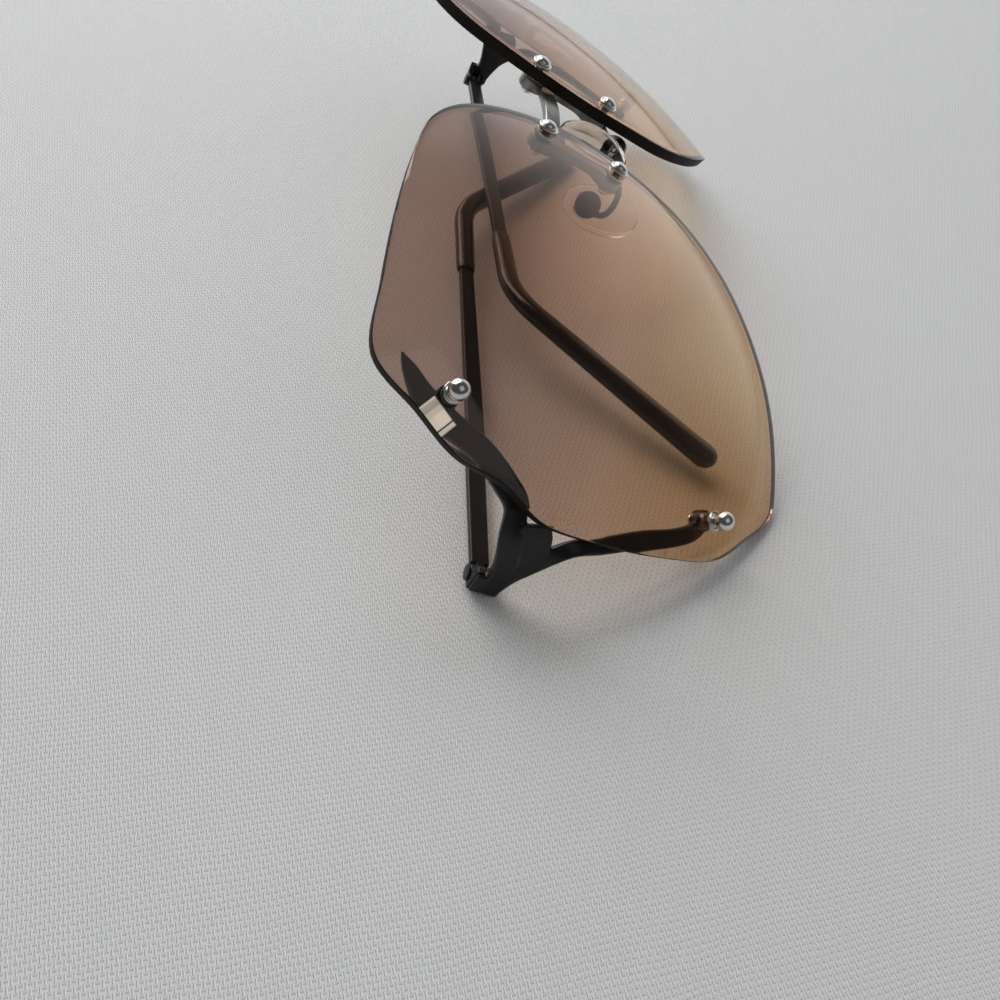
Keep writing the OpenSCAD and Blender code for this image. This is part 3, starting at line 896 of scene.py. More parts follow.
@dataclass(frozen=True)
class FoiledStone:
    """Foil-backed step-cut glass with painted reflections: a ramp along it paints each step as a
    reflection of another part of the room, and a painted glow makes it shine.
    """

    middle: Place
    along: Place
    length: float
    # painted glint: how strongly the stone glows in its painted reflection colours
    painted_glint_strength: float = 1.5
    # brightness of the painted reflection at each place along the stone, one step of the cut after
    # another
    steps: tuple[tuple[float, float], ...] = (
        (0.0, 0.45), (0.05, 0.9), (0.13, 0.85), (0.15, 0.06), (0.18, 0.06), (0.2, 1.0), (0.55, 1.0),
        (0.58, 0.82), (0.72, 0.8), (0.76, 0.5), (0.93, 0.62), (0.96, 0.9),
    )

    def material(self) -> bpy.types.Material:
        """Builds the finish.

        Returns:
            The material.
        """
        material, graph = new_material("foiled_stone")
        where = graph.split(place(graph))
        share: Any = 0.5
        for axis, (centre, part) in enumerate(zip(self.middle, self.along)):
            row = [float(turn) for turn in LIE.turn[:, axis] * MM]
            offset = float(LIE.turn[:, axis] @ np.array(LIE.shift))
            level = where[0] * row[0] + where[1] * row[1] + where[2] * row[2] - offset
            if axis == 0:
                level = level.abs()
            share = (level - centre) * (part / self.length) + share
        # painted reflection: pale greenish-white bands, brighter and darker by place along the
        # stone
        stops = [(spot, (0.76 * bright, 0.97 * bright, bright)) for spot, bright in self.steps]
        colour = graph.out(graph.node("ShaderNodeValToRGB", {"Fac": share}, stops=stops))
        surface(
            graph,
            {
                "Base Color": colour,
                "Metallic": 0.6,
                "Roughness": noise(graph, 800.0) * 0.08 + 0.06,
                "Coat Weight": 1.0,
                "Coat Roughness": 0.03,
                # painted glint: the stone glows in its painted reflection colours
                "Emission Color": colour,
                "Emission Strength": self.painted_glint_strength,
            },
        )
        return material


@dataclass(frozen=True)
class Cloth:
    """Pale plain-woven tablecloth, darker in the low parts of the weave: painted shade between the
    threads, plus random fluff tone.
    """

    # pale on the raised threads, deep for the painted shade between them
    pale: Colour = (0.70, 0.71, 0.70)
    deep: Colour = (0.50, 0.50, 0.505)
    thread: float = 0.00046
    stretch: float = 0.62
    slant: tuple[float, float] = (0.97, 0.24)
    wander: tuple[float, float] = (0.0011, 0.0009)
    weft_share: float = 0.45
    relief_m: float = 0.00016

    def material(self) -> bpy.types.Material:
        """Builds the finish.

        Returns:
            The material.
        """
        material, graph = new_material("woven_cloth")
        waver = noise(graph, 90.0, 2.0)
        x, y, _ = graph.split(place(graph))
        pitch = math.pi / self.thread
        # warp and weft run slantwise under the glasses
        c, s = self.slant
        u = (x * c + y * s + waver * self.wander[0]) * (pitch * self.stretch)
        v = (y * c - x * s + waver * self.wander[1]) * pitch
        over = ((u.sin() * v.sin()).sign() + 1) * 0.5
        warp = v.cos().abs() ** 0.6
        weft = u.cos().abs() ** 0.6
        relief = over * warp + (1 - over) * weft * self.weft_share
        fluff = noise(graph, 2500.0, 4.0)
        height = relief * 0.85 + fluff * 0.3
        # painted shade: darker where the weave is low between the threads; the fluff noise adds
        # random tone
        shade = height.smooth(0.2, 1.0)
        surface(
            graph,
            {
                "Base Color": graph.blend(shade, (*self.deep, 1), (*self.pale, 1)),
                "Roughness": 0.9,
                "Specular IOR Level": 0.15,
                "Normal": bump(graph, height, 0.9, self.relief_m),
            },
        )
        return material


@dataclass(frozen=True)
class Finishes:
    """Every finish of the pair."""

    lens: bpy.types.Material
    rim: bpy.types.Material
    gunmetal: bpy.types.Material
    nose_metal: bpy.types.Material
    bright: bpy.types.Material
    clear: bpy.types.Material
    silicone: bpy.types.Material
    stone: bpy.types.Material
    sleeve: bpy.types.Material

    @classmethod
    def all(cls) -> "Finishes":
        """Makes the finishes.

        Returns:
            All of them.
        """
        turn, at = EndPieces.stone_place()
        return cls(
            lens=LensTint().material(),
            rim=GroundRim().material(),
            gunmetal=PlatedMetal(
                "gunmetal", (0.008, 0.008, 0.009), (0.016, 0.016, 0.017), 0.3, 0.34, 0.08, 0.4
            ).material(),
            nose_metal=PlatedMetal(
                "nose_metal", (0.20, 0.20, 0.19), (0.30, 0.30, 0.28), 1.0, 0.30
            ).material(),
            bright=PlatedMetal(
                "bright_metal", (0.72, 0.72, 0.70), (0.82, 0.82, 0.80), 1.0, 0.2
            ).material(),
            clear=ClearPlastic("clear_plastic", (0.90, 0.90, 0.86), 0.9, 0.18, 1.46).material(),
            silicone=ClearPlastic("silicone", (1.0, 1.0, 0.99), 1.0, 0.06, 1.36).material(),
            stone=FoiledStone(tuple(at), tuple(turn[:, 0]), EndPieces.stone_size[0]).material(),
            sleeve=ClearPlastic("brown_sleeve", (0.016, 0.008, 0.006), 0.22, 0.16, 1.5).material(),
        )


# Lenses


@dataclass(frozen=True)
class LensForm:
    """The lens surface: a piece of a ring, with a radius across and another from brow to cheek."""

    gap: float = 13.4
    width: float = 64.2
    height: float = 71.0
    below: float = 41.9
    thickness: float = 2.0
    face_radius: float = 92.0
    brow_radius: float = 134.0
    crown: float = 1.4
    band_depth: float = 3.2
    middle_at: tuple[float, float] = (0.13, 9.6)
    nose_screw_in: float = 3.2
    nose_screw_mid: float = 0.3
    nose_screw_half: float = 6.7
    brow_screw_in: tuple[float, float] = (9.9, 11.8)
    cheek_screw_in: tuple[float, float] = (10.9, 14.3)
    outline: tuple[tuple[float, float], ...] = (
        (0.812, 0.989), (0.67, 1), (0.5, 0.998), (0.33, 0.981), (0.2, 0.949), (0.1, 0.872),
        (0.033, 0.745), (0.001, 0.6), (0.008, 0.47), (0.055, 0.314), (0.16, 0.19), (0.31, 0.097),
        (0.47, 0.034), (0.64, 0.003), (0.72, 0.008), (0.8, 0.074), (0.893, 0.172), (0.95, 0.31),
        (0.985, 0.45), (1, 0.6), (0.965, 0.7), (0.945, 0.8), (0.89, 0.888),
    )

    @property
    def centre(self) -> tuple[float, float]:
        """Middle of the front's curvature."""
        share, down = self.middle_at
        return self.gap / 2 + self.width * share, self.height - self.below - down

    @property
    def outer(self) -> float:
        """The lens's outermost X."""
        return self.gap / 2 + self.width

    @property
    def nose_screws(self) -> list[tuple[float, float]]:
        """Upper and lower screw on the nose side."""
        x, mid, half = self.gap / 2 + self.nose_screw_in, self.nose_screw_mid, self.nose_screw_half
        return [(x, mid + half), (x, mid - half)]

    @property
    def brow_screw(self) -> Array:
        """Upper screw on the temple side."""
        x, y = self.brow_screw_in
        return np.array([self.outer - x, self.height - self.below - y])

    @property
    def cheek_screw(self) -> Array:
        """Lower screw on the temple side."""
        x, y = self.cheek_screw_in
        return np.array([self.outer - x, y - self.below])

    @property
    def temple_screws(self) -> list[Array]:
        """Upper and lower screw on the temple side."""
        return [self.brow_screw, self.cheek_screw]

    def girth(self, y: float, depth: float = 0.0) -> float:
        """Radius of the ring at a height."""
        reach = math.sqrt((self.brow_radius - depth) ** 2 - (y - self.centre[1]) ** 2)
        return self.face_radius - self.brow_radius + reach

    def level(self, p: Any, depth: float = 0.0) -> float:
        """Z of the ring's surface at a point, for a ring that is a depth slimmer."""
        off = p[0] - self.centre[0]
        return self.crown - self.face_radius + math.sqrt(self.girth(p[1], depth) ** 2 - off**2)

    def normal(self, p: Any) -> Array:
        """Direction straight out of the front at a point.

        Args:
            p: X and Y of the point.

        Returns:
            The unit vector.
        """
        rise = (p[1] - self.centre[1]) / self.brow_radius
        level = math.sqrt(1 - rise * rise)
        side = (p[0] - self.centre[0]) / self.girth(p[1])
        return np.array([level * side, rise, level * math.sqrt(1 - side * side)])

    def point(self, p: Any, depth: float = 0.0) -> Array:
        """A point behind the front by a depth."""
        return np.array([p[0], p[1], self.level(p)]) - depth * self.normal(p)

    def on_band(self, p: Any) -> Array:
        """A point on the surface that the end piece's branches follow."""
        return np.array([p[0], p[1], self.level(p, self.band_depth)])

    def rim(self, steps: int) -> Array:
        """The outline of the left lens, seen from the front.

        Args:
            steps: Points for each point of the outline.

        Returns:
            X and Y of its points.
        """
        loop = (on_loop(self.outline, k / steps) for k in range(len(self.outline) * steps))
        middle, down = self.gap / 2, self.below
        return np.array([[middle + x * self.width, y * self.height - down] for x, y in loop])


FORM = LensForm()


@dataclass
class Lenses:
    """The two lenses, bent by Geometry Nodes from a flat blank."""

    finishes: Finishes
    form: LensForm = FORM
    steps: int = 9
    rings: int = 26
    bevel: float = 0.16
    hole: float = 0.75
    crisp: float = 30.0
    face_limit: float = 0.85

    def bend_tree(self) -> Any:
        """Geometry nodes that bend a flat blank, whose Z is the depth behind the front.

        Returns:
            The node group, which works in design millimetres.
        """
        names = ("Face radius", "Brow radius", "Centre X", "Centre Y", "Crown")
        group, graph, given = new_group("bend_lens", dict.fromkeys(names))
        face, brow, cx, cy, crown = (graph.out(given, name) for name in names)
        x, y, depth = graph.split(graph.node("GeometryNodeInputPosition").outputs[0])
        off = y - cy
        girth = face - brow + (brow * brow - off * off).sqrt()
        across = x - cx
        deep = (girth * girth - across * across).sqrt()
        rise = off / brow
        level = (1 - rise * rise).sqrt()
        bent = graph.join(
            x - depth * level * across / girth,
            y - depth * rise,
            crown - face + deep - depth * level * deep / girth,
        )
        moved = graph.node(
            "GeometryNodeSetPosition", {"Geometry": given.outputs[0], "Position": bent}
        )
        end_group(graph, moved, given)
        return group

    def edge(self, inner: Array, out: Array, angle: float) -> Array:
        """The outline round the rounded edge, pushed out by the bevel at an angle."""
        return inner + out * self.bevel * math.sin(angle)

    def blank(self) -> Shape:
        """Flat lens blank with bevelled edges, closed at its middle.

        Returns:
            The blank: X and Y in the outline, Z the depth behind the front.
        """
        rim = self.form.rim(self.steps)
        ahead = np.roll(rim, -1, axis=0) - np.roll(rim, 1, axis=0)
        out = np.column_stack([-ahead[:, 1], ahead[:, 0]])
        out /= np.linalg.norm(out, axis=1)[:, None]
        centre = rim.mean(axis=0)
        if np.sum(out * (rim - centre)) < 0:
            out = -out
        inner = rim - out * self.bevel
        t = self.form.thickness
        levels: list[tuple[Array, float]] = []
        for k in range(1, self.rings + 1):
            levels.append((mix(centre, inner, (k / self.rings) ** 0.85), 0.0))
        for k in range(1, 4):
            a = math.radians(30 * k)
            levels.append((self.edge(inner, out, a), self.bevel * (1 - math.cos(a))))
        for share in (0.25, 0.5, 0.75):
            levels.append((rim, mix(self.bevel, t - self.bevel, share)))
        for k in range(0, 3):
            a = math.radians(90 - 30 * k)
            levels.append((self.edge(inner, out, a), t - self.bevel * (1 - math.cos(a))))
        for k in range(self.rings, 0, -1):
            levels.append((mix(centre, inner, (k / self.rings) ** 0.85), t))
        n = len(rim)
        points = [np.array([[*centre, 0.0]])]
        points += [np.column_stack([xy, np.full(n, depth)]) for xy, depth in levels]
        points.append(np.array([[*centre, t]]))
        last = 1 + n * len(levels)
        faces: list[Face] = []
        for i in range(n):
            j = (i + 1) % n
            faces.append((0, 1 + i, 1 + j))
            faces.append((last, last - n + j, last - n + i))
            for k in range(len(levels) - 1):
                a, b = 1 + k * n, 1 + (k + 1) * n
                faces.append((a + i, b + i, b + j, a + j))
        return Shape(np.vstack(points), faces)

    def build(self) -> None:
        """Makes both lenses."""
        group = self.bend_tree()
        blank = self.blank()
        cx, cy = self.form.centre
        sizes = {
            "Face radius": self.form.face_radius, "Brow radius": self.form.brow_radius,
            "Centre X": cx, "Centre Y": cy, "Crown": self.form.crown,
            "Material": self.finishes.lens,
        }
        bent = Seed(blank.points, faces=blank.faces).grown("lens_blank", group, sizes)
        for side in Side:
            name, finish = f"lens_glass_{side.value}", self.finishes.lens
            cut = carved(bent.on_side(side).made(name, finish, 0), self.drills(side))
            dress(cut.data, finish, self.crisp)
            self.darken_rim(cut.data, side)
            ride(cut, "front", "lens", f"lens_{side.value}")

    def darken_rim(self, mesh: bpy.types.Mesh, side: Side) -> None:
        """Gives the ground rim and the hole walls the edge finish.

        Args:
            mesh: The drilled lens.
            side: Its side.
        """
        mesh.materials.append(self.finishes.rim)
        flip = np.array([1.0 if side is Side.LEFT else -1.0, 1.0, 1.0])
        for face in mesh.polygons:
            at = LIE.unlay(face.center) * flip
            out = (np.array(face.normal) @ LIE.turn) * flip
            if abs(out @ self.form.normal(at)) < self.face_limit:
                face.material_index = 1

    def drills(self, side: Side) -> bpy.types.Object:
        """Rods that drill the four screw holes of a lens.

        Args:
            side: The lens's side.

        Returns:
            The rods, as one helper object.
        """
        rods = []
        for p in [*self.form.nose_screws, *self.form.temple_screws]:
            turn, at = aim(self.form.point(p), self.form.normal(p), (0, 1, 0))
            rods.append(Shape.of(round_rings((-5.0, 3.0), self.hole, 32)).placed(turn, at))
        return Shape.joined(rods).on_side(side).made("lens_drills", None)


# Fasteners


@dataclass(frozen=True)
class Turned:
    """One turned part of a fastener: a rounded disc, dome or ball on the screw's axis."""

    radius: float
    half_height: float
    middle: float
    power: float


@dataclass
class Fasteners:
    """Screws, washers, backers and nuts, put in place by Geometry Nodes."""

    finishes: Finishes
    form: LensForm = FORM
    labels: tuple[str, ...] = ("radius", "half height", "middle", "squareness")
    back: float = -2.03
    touch: float = 0.03
    washer_t: float = 0.45
    backer_t: float = 0.35
    shank_r: float = 0.6
    nose_boss_t: float = 2.1
    temple_boss_t: float = 1.9
    crisp: float = 50.0

    def tree(self, name: str, parts: Sequence[Turned]) -> Any:
        """Geometry nodes that stand a stack of turned parts on each point, along "out".

        Args:
            name: The group's name.
            parts: The parts, whose sizes become the defaults of the named inputs.

        Returns:
            The node group, which works in design millimetres.
        """
        inputs: dict[str, Optional[float]] = {}
        for number, part in enumerate(parts, 1):
            sizes = zip(self.labels, (part.radius, part.half_height, part.middle, part.power))
            inputs.update({f"Part {number} {label}": value for label, value in sizes})
        group, graph, given = new_group(name, inputs)
        joined = graph.node("GeometryNodeJoinGeometry")
        for number in range(1, len(parts) + 1):
            sizes = [graph.out(given, f"Part {number} {label}") for label in self.labels]
            self.turned(graph, joined, *sizes)
        out = graph.node(
            "GeometryNodeInputNamedAttribute", {"Name": "out"}, data_type="FLOAT_VECTOR"
        )
        facing = graph.node(
            "FunctionNodeAlignRotationToVector", {"Vector": out.outputs[0]}, axis="Z"
        )
        points, instance, turn = given.outputs[0], joined.outputs[0], facing.outputs[0]
        stand = graph.node(
            "GeometryNodeInstanceOnPoints",
            {"Points": points, "Instance": instance, "Rotation": turn},
        )
        end_group(graph, stand, given)
        return group

    @staticmethod
    def turned(
        graph: Graph, joined: Any, radius: Value, half: Value, middle: Value, power: Value
    ) -> None:
        """Adds one turned part: a grid that is rolled into a closed, soft-cornered solid.

        Args:
            graph: The group's graph.
            joined: The node that gathers the parts.
            radius: The part's radius.
            half: Its half height.
            middle: Its middle's level.
            power: 1 for a ball, near 0 for a cylinder.
        """
        grid = graph.node(
            "GeometryNodeMeshGrid",
            {"Size X": 1.0, "Size Y": 1.0, "Vertices X": 21, "Vertices Y": 41},
        )
        x, y, _ = graph.split(graph.node("GeometryNodeInputPosition").outputs[0])
        fall = (x + 0.5) * math.pi
        round_ = (y + 0.5) * (2 * math.pi)
        reach = radius * fall.sin().abs() ** power
        level = fall.cos()
        height = middle + half * level.sign() * level.abs() ** power
        spot = graph.join(reach * round_.cos(), reach * round_.sin(), height)
        moved = graph.node(
            "GeometryNodeSetPosition", {"Geometry": grid.outputs[0], "Position": spot}
        )
        merged = graph.node(
            "GeometryNodeMergeByDistance", {"Geometry": moved.outputs[0], "Distance": 0.0005}
        )
        graph.tree.links.new(merged.outputs[0], joined.inputs[0])

    def stand(
        self, name: str, places: Sequence[Any], material: bpy.types.Material, slot: str,
        parts: Sequence[Turned],
    ) -> None:
        """Stands a stack of parts at screw places on both sides.

        Args:
            name: The piece's name, which is also the stem of its CAD nodes.
            places: Screw places on the left lens.
            material: The finish.
            slot: The record's material slot.
            parts: The stack.
        """
        flips = [np.array([mirror, 1.0, 1.0]) for mirror in (1.0, -1.0)]
        points = np.array([self.form.point(p) * flip for flip in flips for p in places])
        outs = np.array([self.form.normal(p) * flip for flip in flips for p in places])
        group = self.tree(name + "_tree", parts)
        shape = Seed(points, outs=outs).grown(name + "_points", group, {"Material": material})
        nodes = [f"{name}_{side.value}" for side in Side]
        ride(shape.made(name, material, self.crisp), "front", slot, *nodes)

    def disc(self, radius: float, thickness: float, low: float) -> Turned:
        """A flat disc with soft corners that starts at a level."""
        return Turned(radius, thickness / 2, low + thickness / 2, 0.35)

    def nut(self, seat: float) -> tuple[Turned, Turned]:
        """A cap nut under the metal that ends at a level."""
        return Turned(1.15, 0.3, seat - 0.3, 0.3), Turned(1.05, 0.72, seat - 0.25, 0.9)

    def build(self) -> None:
        """Makes every screw, washer, backer and nut."""
        nose, temple = self.form.nose_screws, self.form.temple_screws
        touch, washer, back = self.touch, self.washer_t, self.back
        head = washer + 2 * touch
        seat = back - self.backer_t - touch
        dome = (
            Turned(1.3, 0.14, head + 0.14, 0.35),
            Turned(1.18, 0.62, head + 0.12, 1.0),
            Turned(self.shank_r, 2.76, seat + 0.42, 0.08),
        )
        ball = (
            Turned(0.8, 0.42, head + 0.42, 0.3),
            Turned(1.48, 1.4, head + 1.5, 1.0),
            Turned(self.shank_r, 2.6, seat + 0.45, 0.08),
        )
        bright, clear = self.finishes.bright, self.finishes.clear
        for name, places, finish, slot, parts in (
            ("nose_screws", nose, bright, "bright_metal", dome),
            ("temple_screws", temple, bright, "bright_metal", ball),
            ("nose_washers", nose, bright, "bright_metal", (self.disc(1.65, washer, touch),)),
            ("temple_washers", temple, bright, "bright_metal", (self.disc(1.5, washer, touch),)),
            ("nose_nuts", nose, bright, "bright_metal", self.nut(seat - self.nose_boss_t)),
            ("temple_nuts", temple, bright, "bright_metal", self.nut(seat - self.temple_boss_t)),
            ("nose_backers", nose, clear, "clear_washer", (self.backer(1.6),)),
            ("temple_backers", temple, clear, "clear_washer", (self.backer(1.2),)),
        ):
            self.stand(name, places, finish, slot, parts)

    def backer(self, radius: float) -> Turned:
        """A clear backer behind the lens."""
        return Turned(radius, self.backer_t / 2, self.back - self.backer_t / 2, 0.35)


# Bridge and nose pads


@dataclass
class Bridge:
    """The two nose plates and the cross bar between them."""

    finishes: Finishes
    form: LensForm = FORM
    seat: float = -2.41
    plate_t: float = 1.2
    boss_t: float = 2.0
    boss_r: float = 1.8
    bar_w: float = 2.6
    bar_t: float = 1.3
    bar_down: float = 2.8
    bar_half: float = 8.75
    bar_sunk: float = 0.3
    waist: float = 0.72
    clearance: float = 0.03

    @property
    def plate_ends(self) -> tuple[Array, Array]:
        """Front of the plate under its upper and lower screw."""
        top, low = (self.form.point(p, -self.seat) for p in self.form.nose_screws)
        return top, low

    @property
    def plate_out(self) -> Array:
        """Direction that the plate's front faces."""
        top, low = self.form.nose_screws
        return unit(self.form.normal(top) + self.form.normal(low))

    def plate(self) -> Shape:
        """A plate with round bosses at both ends.

        Returns:
            The left plate.
        """
        top, low = self.plate_ends
        half_len = float(np.linalg.norm(top - low)) / 2
        turn, at = aim((top + low) / 2 - self.clearance * self.plate_out, self.plate_out, top - low)
        rings = []
        reach = half_len + self.boss_r
        for k in range(-60, 61):
            x = math.sin(math.pi / 2 * k / 60) * (reach - 0.004)
            share = min(1.0, abs(x) / half_len)
            half = mix(self.boss_r * self.waist, self.boss_r, math.sin(math.pi / 2 * share) ** 8)
            if abs(x) > half_len:
                half = math.sqrt(max(1e-6, self.boss_r**2 - (abs(x) - half_len) ** 2))
            swell = math.sin(math.pi / 2 * min(1, share / 0.82)) ** 6
            deep = mix(self.plate_t, self.boss_t, swell)
            squeeze = min(1.0, (reach - abs(x)) / 0.22) ** 0.5
            half_deep = deep / 2 * mix(0.75, 1, squeeze)
            rings.append(soft_ring((x, 0, -deep / 2), Y, Z, half, half_deep, 28, 0.22))
        return Shape.of(rings).placed(turn, at)

    def bar(self) -> Shape:
        """The cross bar, which bows forwards in its middle.

        Returns:
            The bar.
        """
        top = self.form.nose_screws[0]
        depth = -self.seat + self.plate_t / 2 + self.bar_sunk
        middle = self.form.point((top[0], top[1] - self.bar_down), depth)
        rings = []
        for k in range(-40, 41):
            share = k / 40 * self.bar_half / (top[0] + 0.4)
            at = (k / 40 * self.bar_half, middle[1], middle[2] + math.cos(math.pi / 2 * share) ** 2)
            rings.append(soft_ring(at, Y, Z, self.bar_w / 2, self.bar_t / 2, 28, 0.3))
        return Shape.of(rings)

    def build(self) -> None:
        """Makes the plates and the bar."""
        metal = self.finishes.nose_metal
        for side in Side:
            made = self.plate().on_side(side).made(f"nose_plate_skin_{side.value}", metal)
            ride(made, "front", "gunmetal", f"nose_plate_{side.value}")
        ride(self.bar().made("bridge_bar_skin", metal), "front", "gunmetal", "bridge_bar")


@dataclass
class NosePads:
    """Pad wires that follow a path by Geometry Nodes, cups, and silicone pads that rock in them."""

    finishes: Finishes
    bridge: Bridge
    wire_d: float = 1.0
    wire_steps: int = 48
    pad_l: float = 13.0
    pad_w: float = 7.4
    pad_t: float = 2.4
    pad_shift: float = 3.4
    lift: float = 0.9

    @property
    def root(self) -> Array:
        """Where the wire leaves the plate."""
        out = self.bridge.plate_out
        behind = self.bridge.plate_ends[1] - self.bridge.boss_t / 2 * out
        return behind + np.array([0, 0.3 - self.bridge.boss_r, 0])

    def wire_path(self, side: Side) -> Array:
        """Points that the wire passes.

        Args:
            side: The wire's side.

        Returns:
            The points, for a left wire.
        """
        if side is Side.RIGHT:
            steps = [
                (0, 0, 0), (0.5, -0.7, -1.1), (0.9, -0.9, -3.1), (0.6, -0.5, -5), (-0.4, 0.3, -6),
                (-1.2, 1.3, -6.2),
            ]
        else:
            steps = [(0, 0, 0), (0.1, -0.8, -1), (-0.5, -2.2, -1.9), (-1.6, -3.3, -2.1)]
        return self.root + np.array(steps)

    def cup_place(self, side: Side) -> tuple[Array, Array]:
        """Turn and place of a cup: Z to the nose, X up along the pad.

        Args:
            side: The cup's side.

        Returns:
            The turn and the place, for a left cup.
        """
        if side is Side.RIGHT:
            return aim(self.root + np.array([-1.3, 2.4, -5.5]), (-0.85, -0.1, -0.5), (0, 1, 0))
        return aim(self.root + np.array([-3.2, -2.9, -2.3]), (-0.93, 0.3, -0.15), (0, 1, 0))

    def wire_tree(self) -> Any:
        """Geometry nodes that put a round wire along a chain of edges.

        Returns:
            The node group, which works in design millimetres.
        """
        group, graph, given = new_group("pad_wire_tree", {"Wire radius": None, "Sides": None})
        line = graph.node("GeometryNodeMeshToCurve", {0: given.outputs[0]})
        ring = graph.node(
            "GeometryNodeCurvePrimitiveCircle",
            {"Resolution": given.outputs["Sides"], "Radius": given.outputs["Wire radius"]},
        )
        tube = graph.node(
            "GeometryNodeCurveToMesh",
            {"Curve": line.outputs[0], "Profile Curve": ring.outputs[0], "Fill Caps": True},
        )
        end_group(graph, tube, given)
        return group

    def wire(self, side: Side, group: Any) -> None:
        """Makes one pad wire.

        Args:
            side: Its side.
            group: The node group that puts a wire along edges.
        """
        path, metal = self.wire_path(side), self.finishes.gunmetal
        line = [on_path(path, t) for t in np.linspace(0.1, len(path) - 1, self.wire_steps)]
        edges = [(i, i + 1) for i in range(len(line) - 1)]
        inputs = {"Wire radius": self.wire_d / 2, "Sides": 18, "Material": metal}
        shape = Seed(line, edges).grown("wire_line", group, inputs)
        made = shape.on_side(side).made(f"pad_wire_tube_{side.value}", metal, 60)
        ride(made, "front", "gunmetal", f"pad_wire_{side.value}")

    def pad(self, side: Side) -> Shape:
        """A drop-shaped pad with a lug that reaches into the cup.

        Args:
            side: The pad's side.

        Returns:
            The pad in its place, for a left pad.
        """
        shift = -self.pad_shift if side is Side.RIGHT else self.pad_shift
        rings = []
        for k in range(41):
            s = -math.cos(math.pi * k / 40) * 0.9995
            girth = (1 - s * s) ** 0.42
            at = (shift + s * self.pad_l / 2, 0, self.lift + self.pad_t / 2 + 0.8 * s * s)
            half, thin = girth * self.pad_w / 2, girth**0.6 * self.pad_t / 2
            rings.append(soft_ring(at, Y, Z, half, thin, 40, 0.85))
        levels = ((-0.8, 0.85), (-0.72, 0.97), (-0.6, 1), (0.4, 1), (self.lift + 0.4, 1.05))
        lug = [soft_ring((0, 0, z), X, Y, 0.65 * f, 0.75 * f, 24, 0.4) for z, f in levels]
        turn, at = self.cup_place(side)
        return Shape.joined([Shape.of(rings).outwards(), Shape.of(lug).outwards()]).placed(turn, at)

    def build(self) -> None:
        """Makes the wires and pads, and dresses the cups and pins."""
        group = self.wire_tree()
        for side in Side:
            self.wire(side, group)
            skin, name = self.pad(side).on_side(side), f"pad_silicone_{side.value}"
            made = skin.made(name, self.finishes.silicone, 60)
            ride(made, f"{side.value}_pad", "silicone", f"nose_pad_{side.value}")
            repaint(f"pad_cup_{side.value}", self.finishes.gunmetal)
            repaint(f"pad_pin_{side.value}", self.finishes.bright)


def repaint(node: str, material: bpy.types.Material) -> None:
    """Gives a CAD node that stays a finish of its own.

    Args:
        node: The CAD node.
        material: The finish.
    """
    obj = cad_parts[node]
    if obj.material_slots:
        for slot in obj.material_slots:
            slot.material = material
    else:
        obj.data.materials.append(material)
    LOG.info("%s: CAD node with finish %s", node, material.name)


# End pieces


